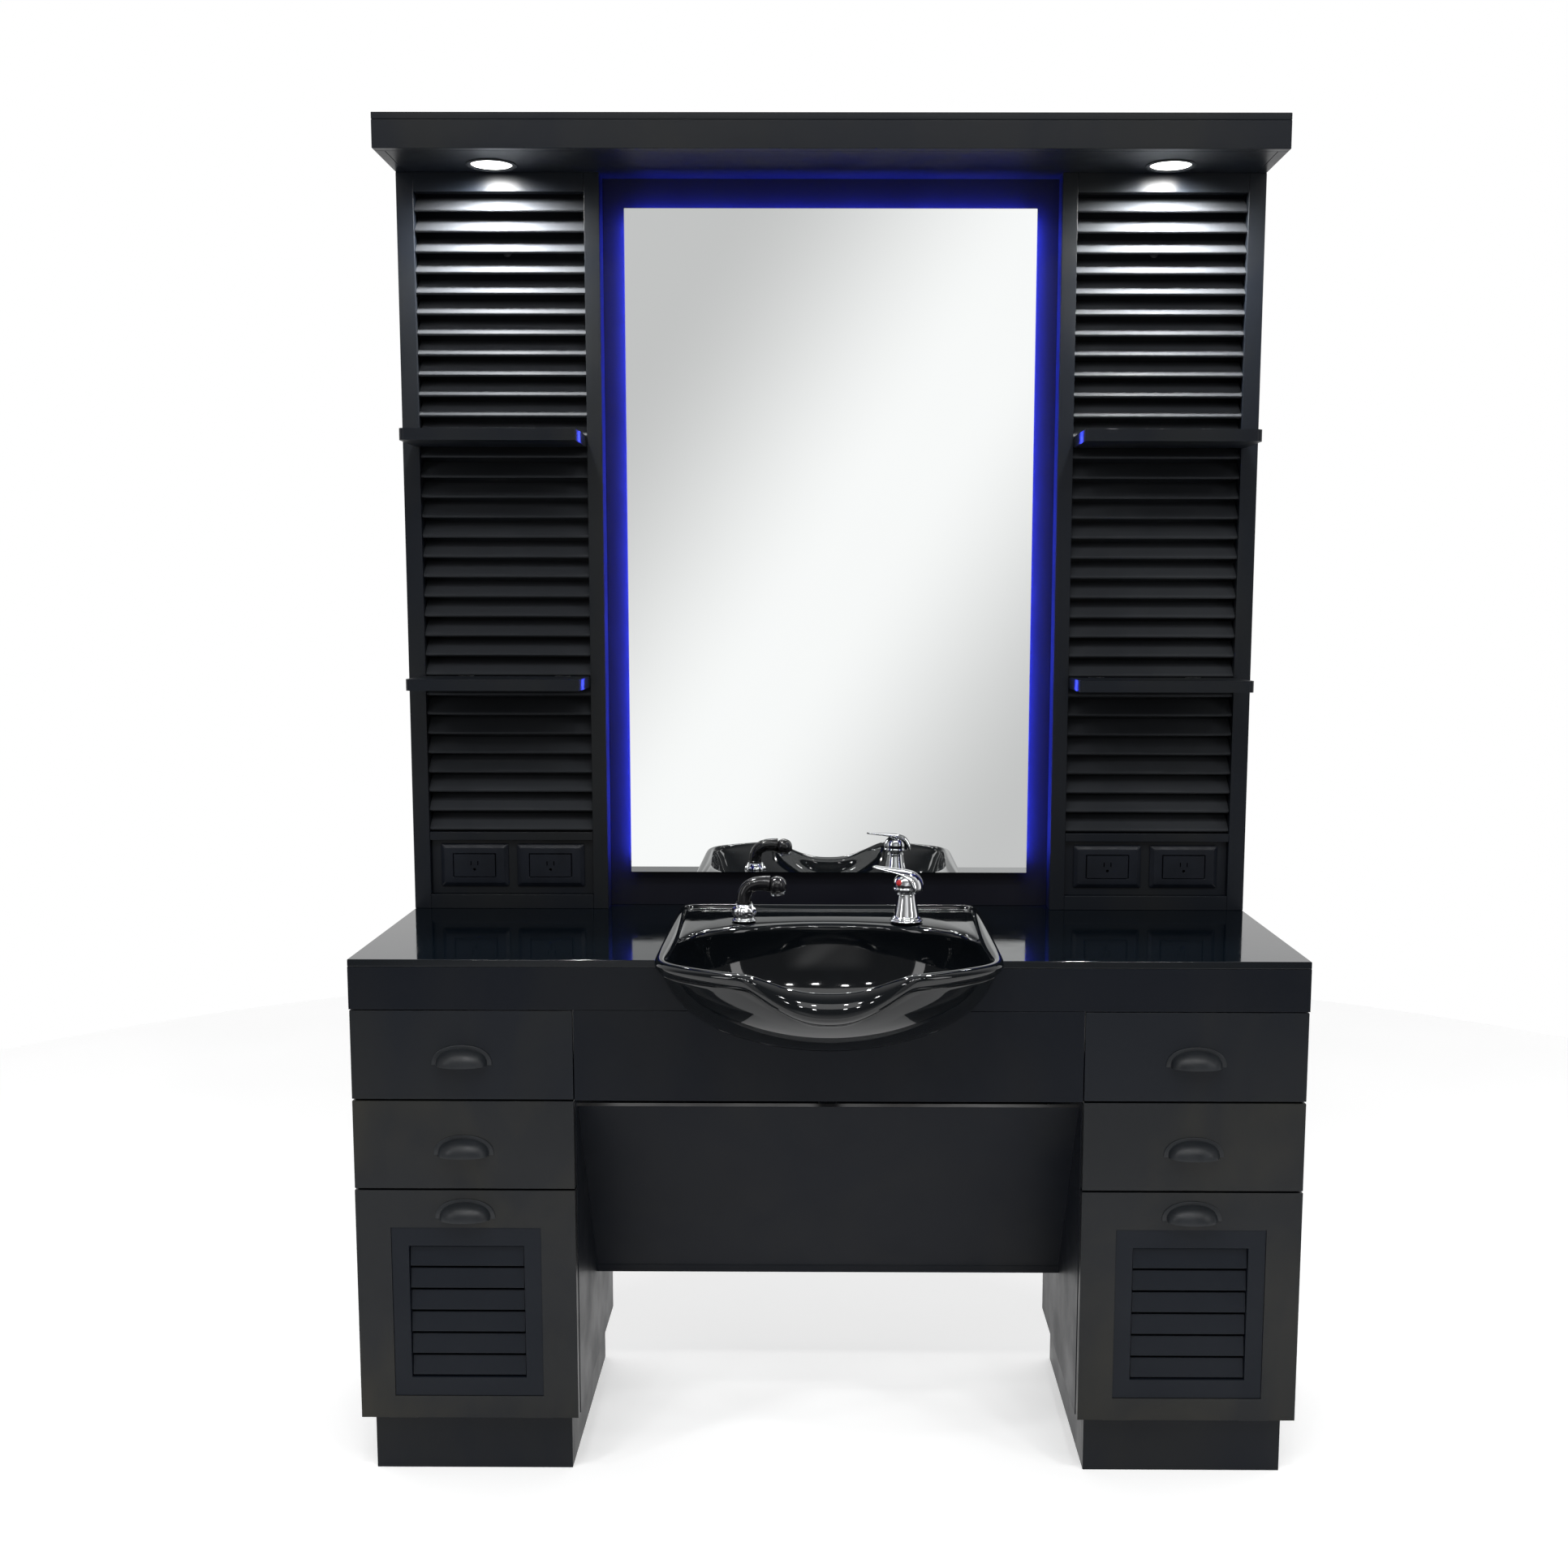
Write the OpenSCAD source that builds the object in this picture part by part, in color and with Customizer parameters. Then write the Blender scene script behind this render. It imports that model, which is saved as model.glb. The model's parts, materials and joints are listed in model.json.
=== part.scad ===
// Salon styling station: a counter on two drawer pedestals, with a shampoo bowl let into its
// front, two louvred side towers, a lit mirror between them and an overhanging crown.
// Lengths are millimetres. +Z is up, the user stands on the -Y side and +X is to the user's right.
// Modules work from the counter's front edge (y = 0); placed() then moves everything so that the
// origin is the centre of the whole station's footprint, on the floor.

/* [Whole station] */
// Width over the counter, the towers and the crown
station_w = 1524; // [1480:1:1600]
// Depth of the counter from its front edge to the wall
counter_d = 559; // [550:1:600]
// Height of the counter's top face
counter_h = 863; // [855:1:880]
// Height of the underside of the crown, where the towers end
tower_top = 2170; // [2150:1:2190]
// Height of the crown
crown_h = 58; // [54:1:66]
// Distance from the counter's front edge back to the crown's face
crown_setback = 301; // [290:1:315]

/* [Counter] */
// Thickness of the counter's top board
slab_t = 12; // [10:0.5:14]
// Height of the band below the top board
fascia_h = 69; // [66:1:72]
// Thickness of carcass boards
board_t = 18; // [16:0.5:18]
// Thickness of drawer fronts and the hamper fronts
front_t = 19; // [18:0.5:19]
// Gap between neighbouring fronts
front_gap = 3; // [2:0.5:4]

/* [Pedestals] */
// Width of each pedestal
pedestal_w = 356; // [350:1:360]
// Depth of each pedestal, front board included
pedestal_d = 457; // [450:1:459]
// Height of the plinth
plinth_h = 100; // [98:1:102]
// How far the plinth stands behind the fronts
plinth_setback = 30; // [30:1:45]
// How far the plinth stands in from the pedestal's sides
plinth_inset = 16; // [12:1:20]
// Height of each drawer front, gap included
drawer_pitch = 147.5; // [146:0.5:148]

/* [Cup pulls] */
// Length of a cup pull over its flange
pull_w = 96; // [90:1:98]
// Radius of a cup pull's dome
pull_r = 27; // [24:1:28]

/* [Towers] */
// Width of the outer stile of a tower's face frame
outer_stile = 30; // [28:1:32]
// Width of the inner stile of a tower's face frame
inner_stile = 27; // [25:1:29]
// Distance from the counter's front edge back to the towers' face
tower_setback = 462; // [460:1:464]
// Number of louvre slats in each tower
slat_count = 32; // [30:1:33]
// Width of a louvre slat's section
slat_w = 44; // [42:1:45]
// Tilt of the louvre slats from vertical
slat_tilt = 50; // [46:1:52]
// Depth of a shelf in front of the tower's face
shelf_d = 135; // [120:1:140]
// Height of the top face of the upper shelves
shelf_z_upper = 1718; // [1700:1:1730]
// Height of the top face of the lower shelves
shelf_z_lower = 1290; // [1280:1:1300]

/* [Mirror] */
// Width of the mirror
mirror_w = 733; // [700:1:740]
// Height of the mirror's lower edge
mirror_z0 = 927; // [920:1:940]
// Height of the mirror's upper edge
mirror_z1 = 2116; // [2100:1:2125]
// Distance from the counter's front edge back to the mirror's face
mirror_y = 490; // [488:0.5:491]

/* [Bowl] */
// Half of the bowl's width over its rolled rim
bowl_half_w = 267; // [265:1:268]
// How far the arc of the bowl's front edge stands out in front of the counter
bowl_out = 250; // [245:1:252]
// How far behind the counter's front edge the bowl's rim ends
bowl_back_y = 383; // [378:1:386]
// Height of the rim above the counter
rim_h = 25; // [24:0.5:26]
// How far the neck rest dips below the rim
neck_dip = 57; // [50:1:60]
// Radius of the drain bore
drain_r = 22.5; // [22:0.5:23]

/* [Hidden] */

$fn = 48;
lacquer = [0.045, 0.047, 0.05];
gloss_black = [0.02, 0.02, 0.022];
chrome = [0.8, 0.82, 0.84];
steel = [0.55, 0.56, 0.58];
timber = [0.72, 0.6, 0.44];
black_plastic = [0.05, 0.05, 0.055];

// Frame and the planes that the pieces share
half_w = station_w / 2;
ped_in = half_w - pedestal_w;
ped_mid = half_w - pedestal_w / 2;
fascia_z = counter_h - slab_t - fascia_h;
row1_z = fascia_z - drawer_pitch;
row2_z = row1_z - drawer_pitch;
carcass_y = front_t + 3;
back_t = 6;
hair = 0.4;
seam = 0.15;

// Runners
runner_gap = 13;
channel_h = 35;
channel_wall = 1.5;
box_wall = 12;
box_h = 100;
box_l = 400;

// Hamper hinge axis, just below and behind the front's lower edge
hinge_y = carcass_y - 1.8;
hinge_z = plinth_h - 3.2;
knuckle_r = 3;
pin_r = 1.5;
pin_play = 0.06;
divider_z = row2_z - 15;

// Vent in the hamper front
vent_w = 242;
vent_h = 285;
vent_z = 138.5;
vent_open_w = 186;
vent_open_h = 222;
vent_slats = 6;

// Tower bays
bay_in = ped_in + inner_stile;
bay_out = half_w - outer_stile;
bay_mid = (bay_in + bay_out) / 2;
bay_w = bay_out - bay_in;
frame_t = 18;
louver_z0 = 1005;
louver_z1 = tower_top - 33;
outlet_z0 = 889;
outlet_z1 = 990;
slat_t = 6.5;
slat_pitch = (louver_z1 - louver_z0) / slat_count;
shelf_t = 20;
shelf_in = bay_in + 2;
shelf_out = 738;
shelf_mid = (shelf_in + shelf_out) / 2;
rod_r = 5;
rod_spread = 180;

// Outlets
plate_w = 124;
plate_h = 79.4;
plate_t = 7;
insert_w = 76;
insert_h = 42;
outlet_xs = [512, 652];
outlet_z = (outlet_z0 + outlet_z1) / 2 + 3;
outlet_panel_y = tower_setback + 12;

// Recess and mirror
recess_y = tower_setback + 48;
recess_t = 16;
mirror_t = 6;

// Crown
crown_board = 12;
light_x = 584;
light_y = 411;
light_r = 35;
trim_r = 43.5;

// Bowl: rings run round a centre that moves back as the shell goes down to the drain
bowl_cy = 75;
drain_back = 70;
rim_z = counter_h + rim_h;
deck_z = rim_z - 8;
shell_z = rim_z - 24.6;
shell_d = 158.4;
shell_power = 2.4;
wall_t = 14;
basin_z = rim_z - 16;
basin_d = 156;
basin_sink = 0.5;
basin_pull = 42;
basin_back = 167;
floor_level = 0.985;
floor_r = 34;
front_arc_r = 365;
arc_dy = front_arc_r - bowl_out - bowl_cy;
lip_in = 26.6;
lip_widen = 0.6;
rim_w = 26;
notch_half = 127;
corner_power = 30;
bowl_steps = 60;
drain_y = bowl_cy + drain_back;
basin_floor = basin_z - basin_d * floor_level;
nut_z = shell_z - 6.3;

// Fittings on the bowl's deck
faucet_x = 133;
faucet_y = 250;
faucet_ball_z = counter_h + 79;
ball_r = 19.5;
pivot_r = 2;
lever_turn = 21;
spray_x = -146;
spray_y = 252;
ferrule_r = 12;

module placed() {
    translate([0, y_shift, 0]) children();
}

// Draws the right-hand piece and its mirror image on the left
module both_sides() {
    children();
    mirror([1, 0, 0]) children();
}

// side is 1 on the right and -1 on the left
module on_side(side) {
    mirror([side < 0 ? 1 : 0, 0, 0]) children();
}

module board(x0, x1, y0, y1, z0, z1) {
    translate([x0, y0, z0]) cube([x1 - x0, y1 - y0, z1 - z0]);
}

module tube(r_out, r_in, h) {
    difference() {
        cylinder(r = r_out, h = h);
        translate([0, 0, -1]) cylinder(r = r_in, h = h + 2);
    }
}

// ---------------------------------------------------------------- pedestals

module plinths() {
    x0 = ped_in + plinth_inset;
    x1 = half_w - plinth_inset;
    color(lacquer) placed() both_sides() {
        board(x0, x1, plinth_setback, plinth_setback + board_t, 0, plinth_h);
        board(x0, x1, pedestal_d - board_t, pedestal_d, 0, plinth_h);
        y0 = plinth_setback + board_t + seam;
        y1 = pedestal_d - board_t - seam;
        board(x0, x0 + board_t, y0, y1, 0, plinth_h);
        board(x1 - board_t, x1, y0, y1, 0, plinth_h);
    }
}

module pedestal_carcass(side) {
    x0 = ped_in + board_t + seam;
    x1 = half_w - board_t - seam;
    y1 = pedestal_d - back_t - seam;
    color(lacquer) placed() on_side(side) {
        board(ped_in, ped_in + board_t, carcass_y, pedestal_d, plinth_h, fascia_z);
        board(half_w - board_t, half_w, carcass_y, pedestal_d, plinth_h, fascia_z);
        board(x0, x1, carcass_y, y1, plinth_h, plinth_h + board_t);
        board(x0, x1, carcass_y, y1, divider_z, divider_z + 12);
        board(x0, x1, carcass_y, carcass_y + 80, fascia_z - board_t, fascia_z);
        board(x0, x1, y1 - 80, y1, fascia_z - board_t, fascia_z);
        board(x0, x1, pedestal_d - back_t, pedestal_d, plinth_h, fascia_z);
    }
}

module left_pedestal_carcass() {
    pedestal_carcass(-1);
}

module right_pedestal_carcass() {
    pedestal_carcass(1);
}

function drawer_mid(row) = (row == 1 ? row1_z : row2_z) + drawer_pitch / 2;

// A C-shaped channel on the carcass side, open towards the drawer
module runner_channel(x_wall, facing, z) {
    depth = runner_gap - 2.3;
    translate([x_wall, carcass_y + 8, z - channel_h / 2]) mirror([facing < 0 ? 1 : 0, 0, 0])
        difference() {
            cube([depth, 410, channel_h]);
            translate([channel_wall, -1, channel_wall + 0.5])
                cube([depth, 412, channel_h - 2 * channel_wall - 1]);
        }
}

module drawer_runners() {
    color(steel) placed() both_sides() for (row = [1, 2]) {
        runner_channel(ped_in + board_t, 1, drawer_mid(row));
        runner_channel(half_w - board_t, -1, drawer_mid(row));
    }
}

module hinge_knuckle(x, length, hole_r) {
    translate([x, hinge_y, hinge_z]) rotate([0, 90, 0]) difference() {
        cylinder(r = knuckle_r, h = length, $fn = 32);
        translate([0, 0, -1]) cylinder(r = hole_r, h = length + 2, $fn = 32);
    }
}

// Fixed halves of the hamper hinges: a leaf under the pedestal's floor, a knuckle and the pin
module hamper_hinges() {
    color(steel) placed() both_sides() for (x = [ped_mid - 110, ped_mid + 110]) {
        union() {
            translate([x - 10, hinge_y, hinge_z]) rotate([0, 90, 0]) cylinder(r = knuckle_r, h = 20, $fn = 32);
            board(x - 10, x + 10, hinge_y, plinth_setback - hair, plinth_h - 1.4, plinth_h);
            translate([x - 25, hinge_y, hinge_z]) rotate([0, 90, 0]) cylinder(r = pin_r, h = 50, $fn = 32);
        }
    }
}

// ---------------------------------------------------------------- drawers and hampers

module drawer_front(side, row) {
    z0 = (row == 1 ? row1_z : row2_z) + front_gap / 2;
    z1 = z0 + drawer_pitch - front_gap;
    color(lacquer) placed() on_side(side)
        board(ped_in + 1, half_w - 1, 0, front_t, z0, z1);
}

// Four walls, a bottom and the inner members of its two runners
module drawer_box(side, row) {
    x0 = ped_in + board_t + runner_gap;
    x1 = half_w - board_t - runner_gap;
    y0 = front_t;
    y1 = y0 + box_l;
    mid = drawer_mid(row);
    z0 = mid - box_h / 2;
    z1 = mid + box_h / 2;
    color(timber) placed() on_side(side) {
        w = box_wall + seam;
        board(x0, x1, y0, y0 + box_wall, z0, z1);
        board(x0, x1, y1 - box_wall, y1, z0, z1);
        board(x0, x0 + box_wall, y0 + w, y1 - w, z0, z1);
        board(x1 - box_wall, x1, y0 + w, y1 - w, z0, z1);
        board(x0 + w, x1 - w, y0 + w, y1 - w, z0 + 6, z0 + 12);
        board(x1 + seam, x1 + 8, y0 + 20, y1 - 8, mid - 12, mid + 12);
        board(x0 - 8, x0 - seam, y0 + 20, y1 - 8, mid - 12, mid + 12);
    }
}

function pull_curve(length, r, step) = [
    for (u = [-90 : step : 90]) [r * pow(cos(u), 0.75), length * sin(u)]
];

// A hollow quarter dome, open underneath, on a thin crescent flange
module cup_pull(x, z) {
    wall = 2.4;
    half = pull_w / 2 - 7;
    base = z - pull_r / 2 - 2;
    translate([x, 0, base]) {
        rotate(a = 180, v = [1, 0, 1]) rotate_extrude(angle = 90, $fn = 48) polygon(concat(
            pull_curve(half, pull_r, 9),
            [for (p = pull_curve(half - wall, pull_r - wall, 9)) [p[0], -p[1]]]
        ));
        rotate([90, 0, 0]) linear_extrude(2) difference() {
            polygon([for (u = [0 : 6 : 180]) [pull_w / 2 * cos(u), (pull_r + 5) * pow(sin(u), 0.8)]]);
            polygon([for (u = [0 : 6 : 180]) [(half - 4) * cos(u), (pull_r - 4) * pow(sin(u), 0.8)]]);
        }
    }
}

module drawer_pull(side, row) {
    color(black_plastic) placed() on_side(side) cup_pull(ped_mid, drawer_mid(row));
}

module left_upper_drawer_front() { drawer_front(-1, 1); }
module left_upper_drawer_box() { drawer_box(-1, 1); }
module left_upper_drawer_pull() { drawer_pull(-1, 1); }
module left_lower_drawer_front() { drawer_front(-1, 2); }
module left_lower_drawer_box() { drawer_box(-1, 2); }
module left_lower_drawer_pull() { drawer_pull(-1, 2); }
module right_upper_drawer_front() { drawer_front(1, 1); }
module right_upper_drawer_box() { drawer_box(1, 1); }
module right_upper_drawer_pull() { drawer_pull(1, 1); }
module right_lower_drawer_front() { drawer_front(1, 2); }
module right_lower_drawer_box() { drawer_box(1, 2); }
module right_lower_drawer_pull() { drawer_pull(1, 2); }

// A front with a window for the vent, and the moving halves of its two hinges underneath
module hamper_front(side) {
    z0 = plinth_h + 1.5;
    z1 = row2_z - front_gap / 2;
    color(lacquer) placed() on_side(side) {
        difference() {
            board(ped_in + 1, half_w - 1, 0, front_t, z0, z1);
            board(ped_mid - vent_w / 2, ped_mid + vent_w / 2, -1, front_t + 1, vent_z, vent_z + vent_h);
        }
        for (x = [ped_mid - 110, ped_mid + 110]) {
            union() {
                hinge_knuckle(x - 24, 13, pin_r + pin_play);
                hinge_knuckle(x + 11, 13, pin_r + pin_play);
                difference() {
                    board(x - 24, x + 24, 3, hinge_y, hinge_z + knuckle_r - 0.4, z0);
                    board(x - 10.5, x + 10.5, hinge_y - knuckle_r - 1, hinge_y + 1,
                          hinge_z, z0 + 1);
                }
            }
        }
    }
}

// Four frame boards and six slats that lean out at the bottom
module hamper_vent(side) {
    y0 = 1.5;
    y1 = 16.5;
    x0 = ped_mid - vent_w / 2;
    x1 = ped_mid + vent_w / 2;
    stile = (vent_w - vent_open_w) / 2;
    rail = (vent_h - vent_open_h) / 2;
    pitch = vent_open_h / vent_slats;
    color(lacquer) placed() on_side(side) {
        board(x0, x0 + stile, y0, y1, vent_z, vent_z + vent_h);
        board(x1 - stile, x1, y0, y1, vent_z, vent_z + vent_h);
        board(x0 + stile + seam, x1 - stile - seam, y0, y1, vent_z, vent_z + rail);
        board(x0 + stile + seam, x1 - stile - seam, y0, y1, vent_z + vent_h - rail, vent_z + vent_h);
        for (i = [0 : vent_slats - 1])
            translate([ped_mid, 9.6, vent_z + rail + pitch * (i + 0.5)]) rotate([-14, 0, 0])
                cube([vent_open_w - 2 * seam, 4.5, pitch - 2], center = true);
    }
}

// An open-topped bin behind the hamper front
module hamper_bin(side) {
    x0 = ped_mid - 150;
    x1 = ped_mid + 150;
    y0 = front_t;
    y1 = 212;
    z0 = plinth_h + 24;
    z1 = 390;
    w = 6;
    color(lacquer) placed() on_side(side) {
        v = w + seam;
        board(x0, x1, y0, y0 + w, z0, z1);
        board(x0, x1, y1 - w, y1, z0, z1);
        board(x0, x0 + w, y0 + v, y1 - v, z0, z1);
        board(x1 - w, x1, y0 + v, y1 - v, z0, z1);
        board(x0 + v, x1 - v, y0 + v, y1 - v, z0, z0 + w);
    }
}

module hamper_pull(side) {
    color(black_plastic) placed() on_side(side) cup_pull(ped_mid, row2_z - 32);
}

module left_hamper_front() { hamper_front(-1); }
module left_hamper_vent() { hamper_vent(-1); }
module left_hamper_bin() { hamper_bin(-1); }
module left_hamper_pull() { hamper_pull(-1); }
module right_hamper_front() { hamper_front(1); }
module right_hamper_vent() { hamper_vent(1); }
module right_hamper_bin() { hamper_bin(1); }
module right_hamper_pull() { hamper_pull(1); }

// ---------------------------------------------------------------- counter

// The notch that the bowl drops into, open at the counter's front edge
module counter_top() {
    notch_w = 256;
    notch_y = 366;
    notch_r = 32;
    color(gloss_black) placed() translate([0, 0, counter_h - slab_t]) linear_extrude(slab_t)
        difference() {
            translate([-half_w, 0]) square([station_w, counter_d]);
            translate([-notch_w, -1]) square([2 * notch_w, notch_y - notch_r + 1]);
            translate([notch_r - notch_w, notch_y - notch_r - 1])
                square([2 * (notch_w - notch_r), notch_r + 1]);
            for (x = [notch_r - notch_w, notch_w - notch_r])
                translate([x, notch_y - notch_r]) circle(r = notch_r);
        }
}

module counter_fascia() {
    color(lacquer) placed() {
        difference() {
            board(-half_w, half_w, 0, front_t, fascia_z, counter_h - slab_t);
            bowl_cutter();
        }
        both_sides()
            board(half_w - board_t, half_w, front_t + seam, counter_d, fascia_z, counter_h - slab_t);
    }
}

module bowl_apron() {
    color(lacquer) placed() difference() {
        board(-ped_in + 0.5, ped_in - 0.5, 0, front_t, row1_z, fascia_z - 0.5);
        bowl_cutter();
    }
}

// A sloping panel in front of the plumbing with a strip at its foot, and a stretcher behind it
module knee_space_panels() {
    top_y = 43;
    top_z = 613;
    foot_y = 254;
    foot_z = 253;
    t_y = 18;
    color(lacquer) placed() {
        translate([-ped_in, 0, 0]) rotate([90, 0, 90]) linear_extrude(2 * ped_in) polygon([
            [top_y, top_z], [foot_y, foot_z], [foot_y + t_y, foot_z], [top_y + t_y, top_z]
        ]);
        board(-ped_in, ped_in, foot_y - 8, foot_y - hair, foot_z, foot_z + 13);
        board(-ped_in, ped_in, pedestal_d - board_t, pedestal_d, 430, 600);
    }
}

// ---------------------------------------------------------------- bowl

// The smallest of three lengths, with the corners between them rounded a little
function soft_min(a, b, c) =
    let (m = min(a, b, c), k = -corner_power)
    m * pow(pow(a / m, k) + pow(b / m, k) + pow(c / m, k), 1 / k);

// Distance from the bowl's centre to the outside of its rim: straight sides and back, arched front
function rim_reach(t) =
    let (c = max(abs(cos(t)), 0.001), s = sin(t), far = 5000)
    soft_min(
        bowl_half_w / c,
        s > 0.001 ? (bowl_back_y - bowl_cy) / s : far,
        s < 0 ? arc_dy * s + sqrt(pow(arc_dy * s, 2) + pow(front_arc_r, 2) - pow(arc_dy, 2)) : far
    );

function oval(t, rx, ry) = 1 / sqrt(pow(cos(t) / rx, 2) + pow(sin(t) / ry, 2));

// Distance from the centre to the edge of the basin: an oval at the back; in front it follows the
// inside of the rim at the top and turns into an oval further down
function basin_reach(t, level = 0) =
    let (rx = bowl_half_w - rim_w, w = pow(level, 0.8))
    sin(t) > 0
        ? oval(t, rx, basin_back - drain_back * level)
        : (1 - w) * (rim_reach(t) - rim_w) + w * oval(t, rx, bowl_out + bowl_cy - rim_w);

// The neck rest at this angle, from 0 beside it to 1 in its middle
function dip(t) =
    let (u = abs(rim_reach(t) * cos(t)) / notch_half)
    sin(t) < 0 && u < 1 ? pow(1 - pow(u, 2.5), 1.3) : 0;

function narrowing(level) = sqrt(max(0.0004, 1 - pow(level, shell_power)));

// A point of the outer shell; step is 0 under the rim and 1 at the shell's bottom
function shell_point(t, step, grow = 0) =
    let (
        top = neck_dip * dip(t) / shell_d,
        level = top + (1 - top) * step,
        reach = max(floor_r + 4, (basin_reach(t, level) + wall_t) * narrowing(level)) + grow
    )
    [reach * cos(t), bowl_cy + drain_back * level + reach * sin(t), shell_z - shell_d * level];

// A point of the rolled rim, inset from its outside
function rim_point(t, inset, z, sink) =
    let (reach = rim_reach(t) - inset - (lip_in + lip_widen * inset) * dip(t))
    [reach * cos(t), bowl_cy + reach * sin(t), z - neck_dip * dip(t) * sink];

// A point of the basin's inner surface
function basin_point(t, level, lift = 0, out = 0) =
    let (
        drop = neck_dip * dip(t) * basin_sink,
        depth = drop + (basin_d - drop) * level,
        edge = basin_reach(t, level) - basin_pull * dip(t) * (1 - level),
        reach = max(floor_r, edge * narrowing(level)) + out
    )
    [reach * cos(t), bowl_cy + drain_back * level + reach * sin(t), basin_z - depth + lift];

bowl_angles = [for (i = [0 : bowl_steps - 1]) i * 360 / bowl_steps];
shell_levels = [0.995, 0.95, 0.86, 0.72, 0.55, 0.36, 0.18, 0];
// Inset, height below the rim's top and share of the neck rest's depth
rim_section = [
    [14, -24.6, 1], [8, -20.5, 1], [3, -15, 1], [0.4, -9.5, 1], [0.8, -5, 0.95], [4.5, -1.5, 0.82],
    [11, 0, 0.66], [17, -1.2, 0.55], [23, -8, 0.5]
];
basin_levels = [0, 0.12, 0.28, 0.46, 0.64, 0.8, 0.92, floor_level];

// The station reaches from the front of the bowl's rim to the wall
bowl_front = -min([for (t = bowl_angles, p = rim_section) rim_point(t, p[0], 0, 0)[1]]);
y_shift = (bowl_front - counter_d) / 2;

function ring_rows() = concat(
    [for (level = shell_levels) [for (t = bowl_angles) shell_point(t, level)]],
    [for (p = rim_section) [for (t = bowl_angles) rim_point(t, p[0], rim_z + p[1], p[2])]],
    [[for (t = bowl_angles) basin_point(t, 0, deck_z - basin_z, 4)]],
    [for (level = basin_levels) [for (t = bowl_angles) basin_point(t, level)]]
);

// Joins rows of points round the bowl with triangles and closes the first and last rows
module ring_solid(rows, steps) {
    last = len(rows) - 1;
    polyhedron(
        points = [for (row = rows, p = row) p],
        faces = concat(
            [for (r = [0 : last - 1], i = [0 : steps - 1], k = [0, 1])
                let (j = (i + 1) % steps, a = r * steps, b = a + steps)
                k == 0 ? [a + i, b + i, b + j] : [a + i, b + j, a + j]],
            [[for (i = [0 : steps - 1]) i]],
            [[for (i = [steps - 1 : -1 : 0]) last * steps + i]]
        )
    );
}

// The bowl's shell a little larger, as a solid, to cut the boards that it passes through
module bowl_cutter() {
    levels = [0.995, 0.95, 0.86, 0.72, 0.55, 0.36, 0.18, 0];
    ring_solid(concat(
        [for (level = levels) [for (t = bowl_angles)
            let (p = shell_point(t, level, 2)) [p[0], p[1], p[2] - 1.5]]],
        [[for (t = bowl_angles) let (p = shell_point(t, 0, 2)) [p[0], p[1], rim_z + 20]]]
    ), bowl_steps);
}

module shampoo_bowl() {
    color(gloss_black) placed() difference() {
        ring_solid(ring_rows(), bowl_steps);
        translate([0, drain_y, shell_z - shell_d - 20]) cylinder(r = drain_r, h = 60, $fn = 72);
        translate([faucet_x, faucet_y, counter_h - 30]) cylinder(r = 15, h = 80);
        translate([spray_x, spray_y, counter_h - 30]) cylinder(r = 14.5, h = 80);
    }
}

// Angle clips that hold the bowl's rim down on the counter: a leg beside the notch and a screw
module bowl_clamps() {
    z = counter_h - slab_t;
    color(steel) placed() both_sides() for (y = [140, 290]) {
        board(258, 292, y - 12, y + 12, z - 3 - hair, z - hair);
        board(258, 261, y - 12, y + 12, z - 30, z - 3 - hair);
        translate([280, y, z - 12]) cylinder(r = 4, h = 12 - 3 - hair, $fn = 24);
    }
}

// ---------------------------------------------------------------- drain

module drain_flange() {
    color(chrome) placed() translate([0, drain_y, 0]) {
        difference() {
            union() {
                translate([0, 0, basin_floor + 0.3]) cylinder(r = 29, h = 2.2);
                translate([0, 0, basin_floor - 42]) cylinder(r = drain_r - 0.3, h = 43);
            }
            translate([0, 0, basin_floor - 50]) cylinder(r = 19.3, h = 80);
        }
        translate([0, 0, shell_z - shell_d - 7.8]) tube(32, drain_r, 8);
    }
}

// A perforated cup that lifts out of the drain
module strainer_basket() {
    color(chrome) placed() translate([0, drain_y, basin_floor - 3]) difference() {
        union() {
            translate([0, 0, -16]) cylinder(r = 17, h = 22);
            translate([0, 0, 5.9]) cylinder(r = 22, h = 1.6);
        }
        translate([0, 0, -14.5]) cylinder(r = 15.5, h = 30);
        for (a = [0 : 60 : 300]) rotate(a) translate([9, 0, -20]) cylinder(r = 2.2, h = 10, $fn = 24);
    }
}

pipe_r = 19.05;
pipe_bore = 17.5;

module pipe_bend(radius, angle) {
    rotate_extrude(angle = angle) translate([radius, 0]) difference() {
        circle(r = pipe_r);
        circle(r = pipe_bore);
    }
}

// Tailpiece, U-bend and a straight arm to the wall, which ends in the pipe that the drain joins
module p_trap() {
    bend = 38;
    top = basin_floor - 25;
    low = 590;
    arm_z = 640;
    y2 = drain_y + 2 * bend;
    color(chrome) placed() {
        translate([0, drain_y, low]) tube(pipe_r, pipe_bore, top - low);
        translate([0, drain_y + bend, low]) rotate([0, -90, 0]) rotate([0, 0, 90])
            pipe_bend(bend, 180);
        translate([0, y2, low]) tube(pipe_r, pipe_bore, arm_z - bend - low);
        translate([0, y2 + bend, arm_z - bend]) rotate([90, 0, -90]) pipe_bend(bend, 90);
        translate([0, y2 + bend, arm_z]) rotate([-90, 0, 0])
            tube(pipe_r, pipe_bore, counter_d - y2 - bend);
        translate([0, drain_y, low + 20]) tube(27, pipe_r, 20);
        translate([0, y2, low + 2]) tube(27, pipe_r, 8);
    }
}

// ---------------------------------------------------------------- mixer and hand sprayer

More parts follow.
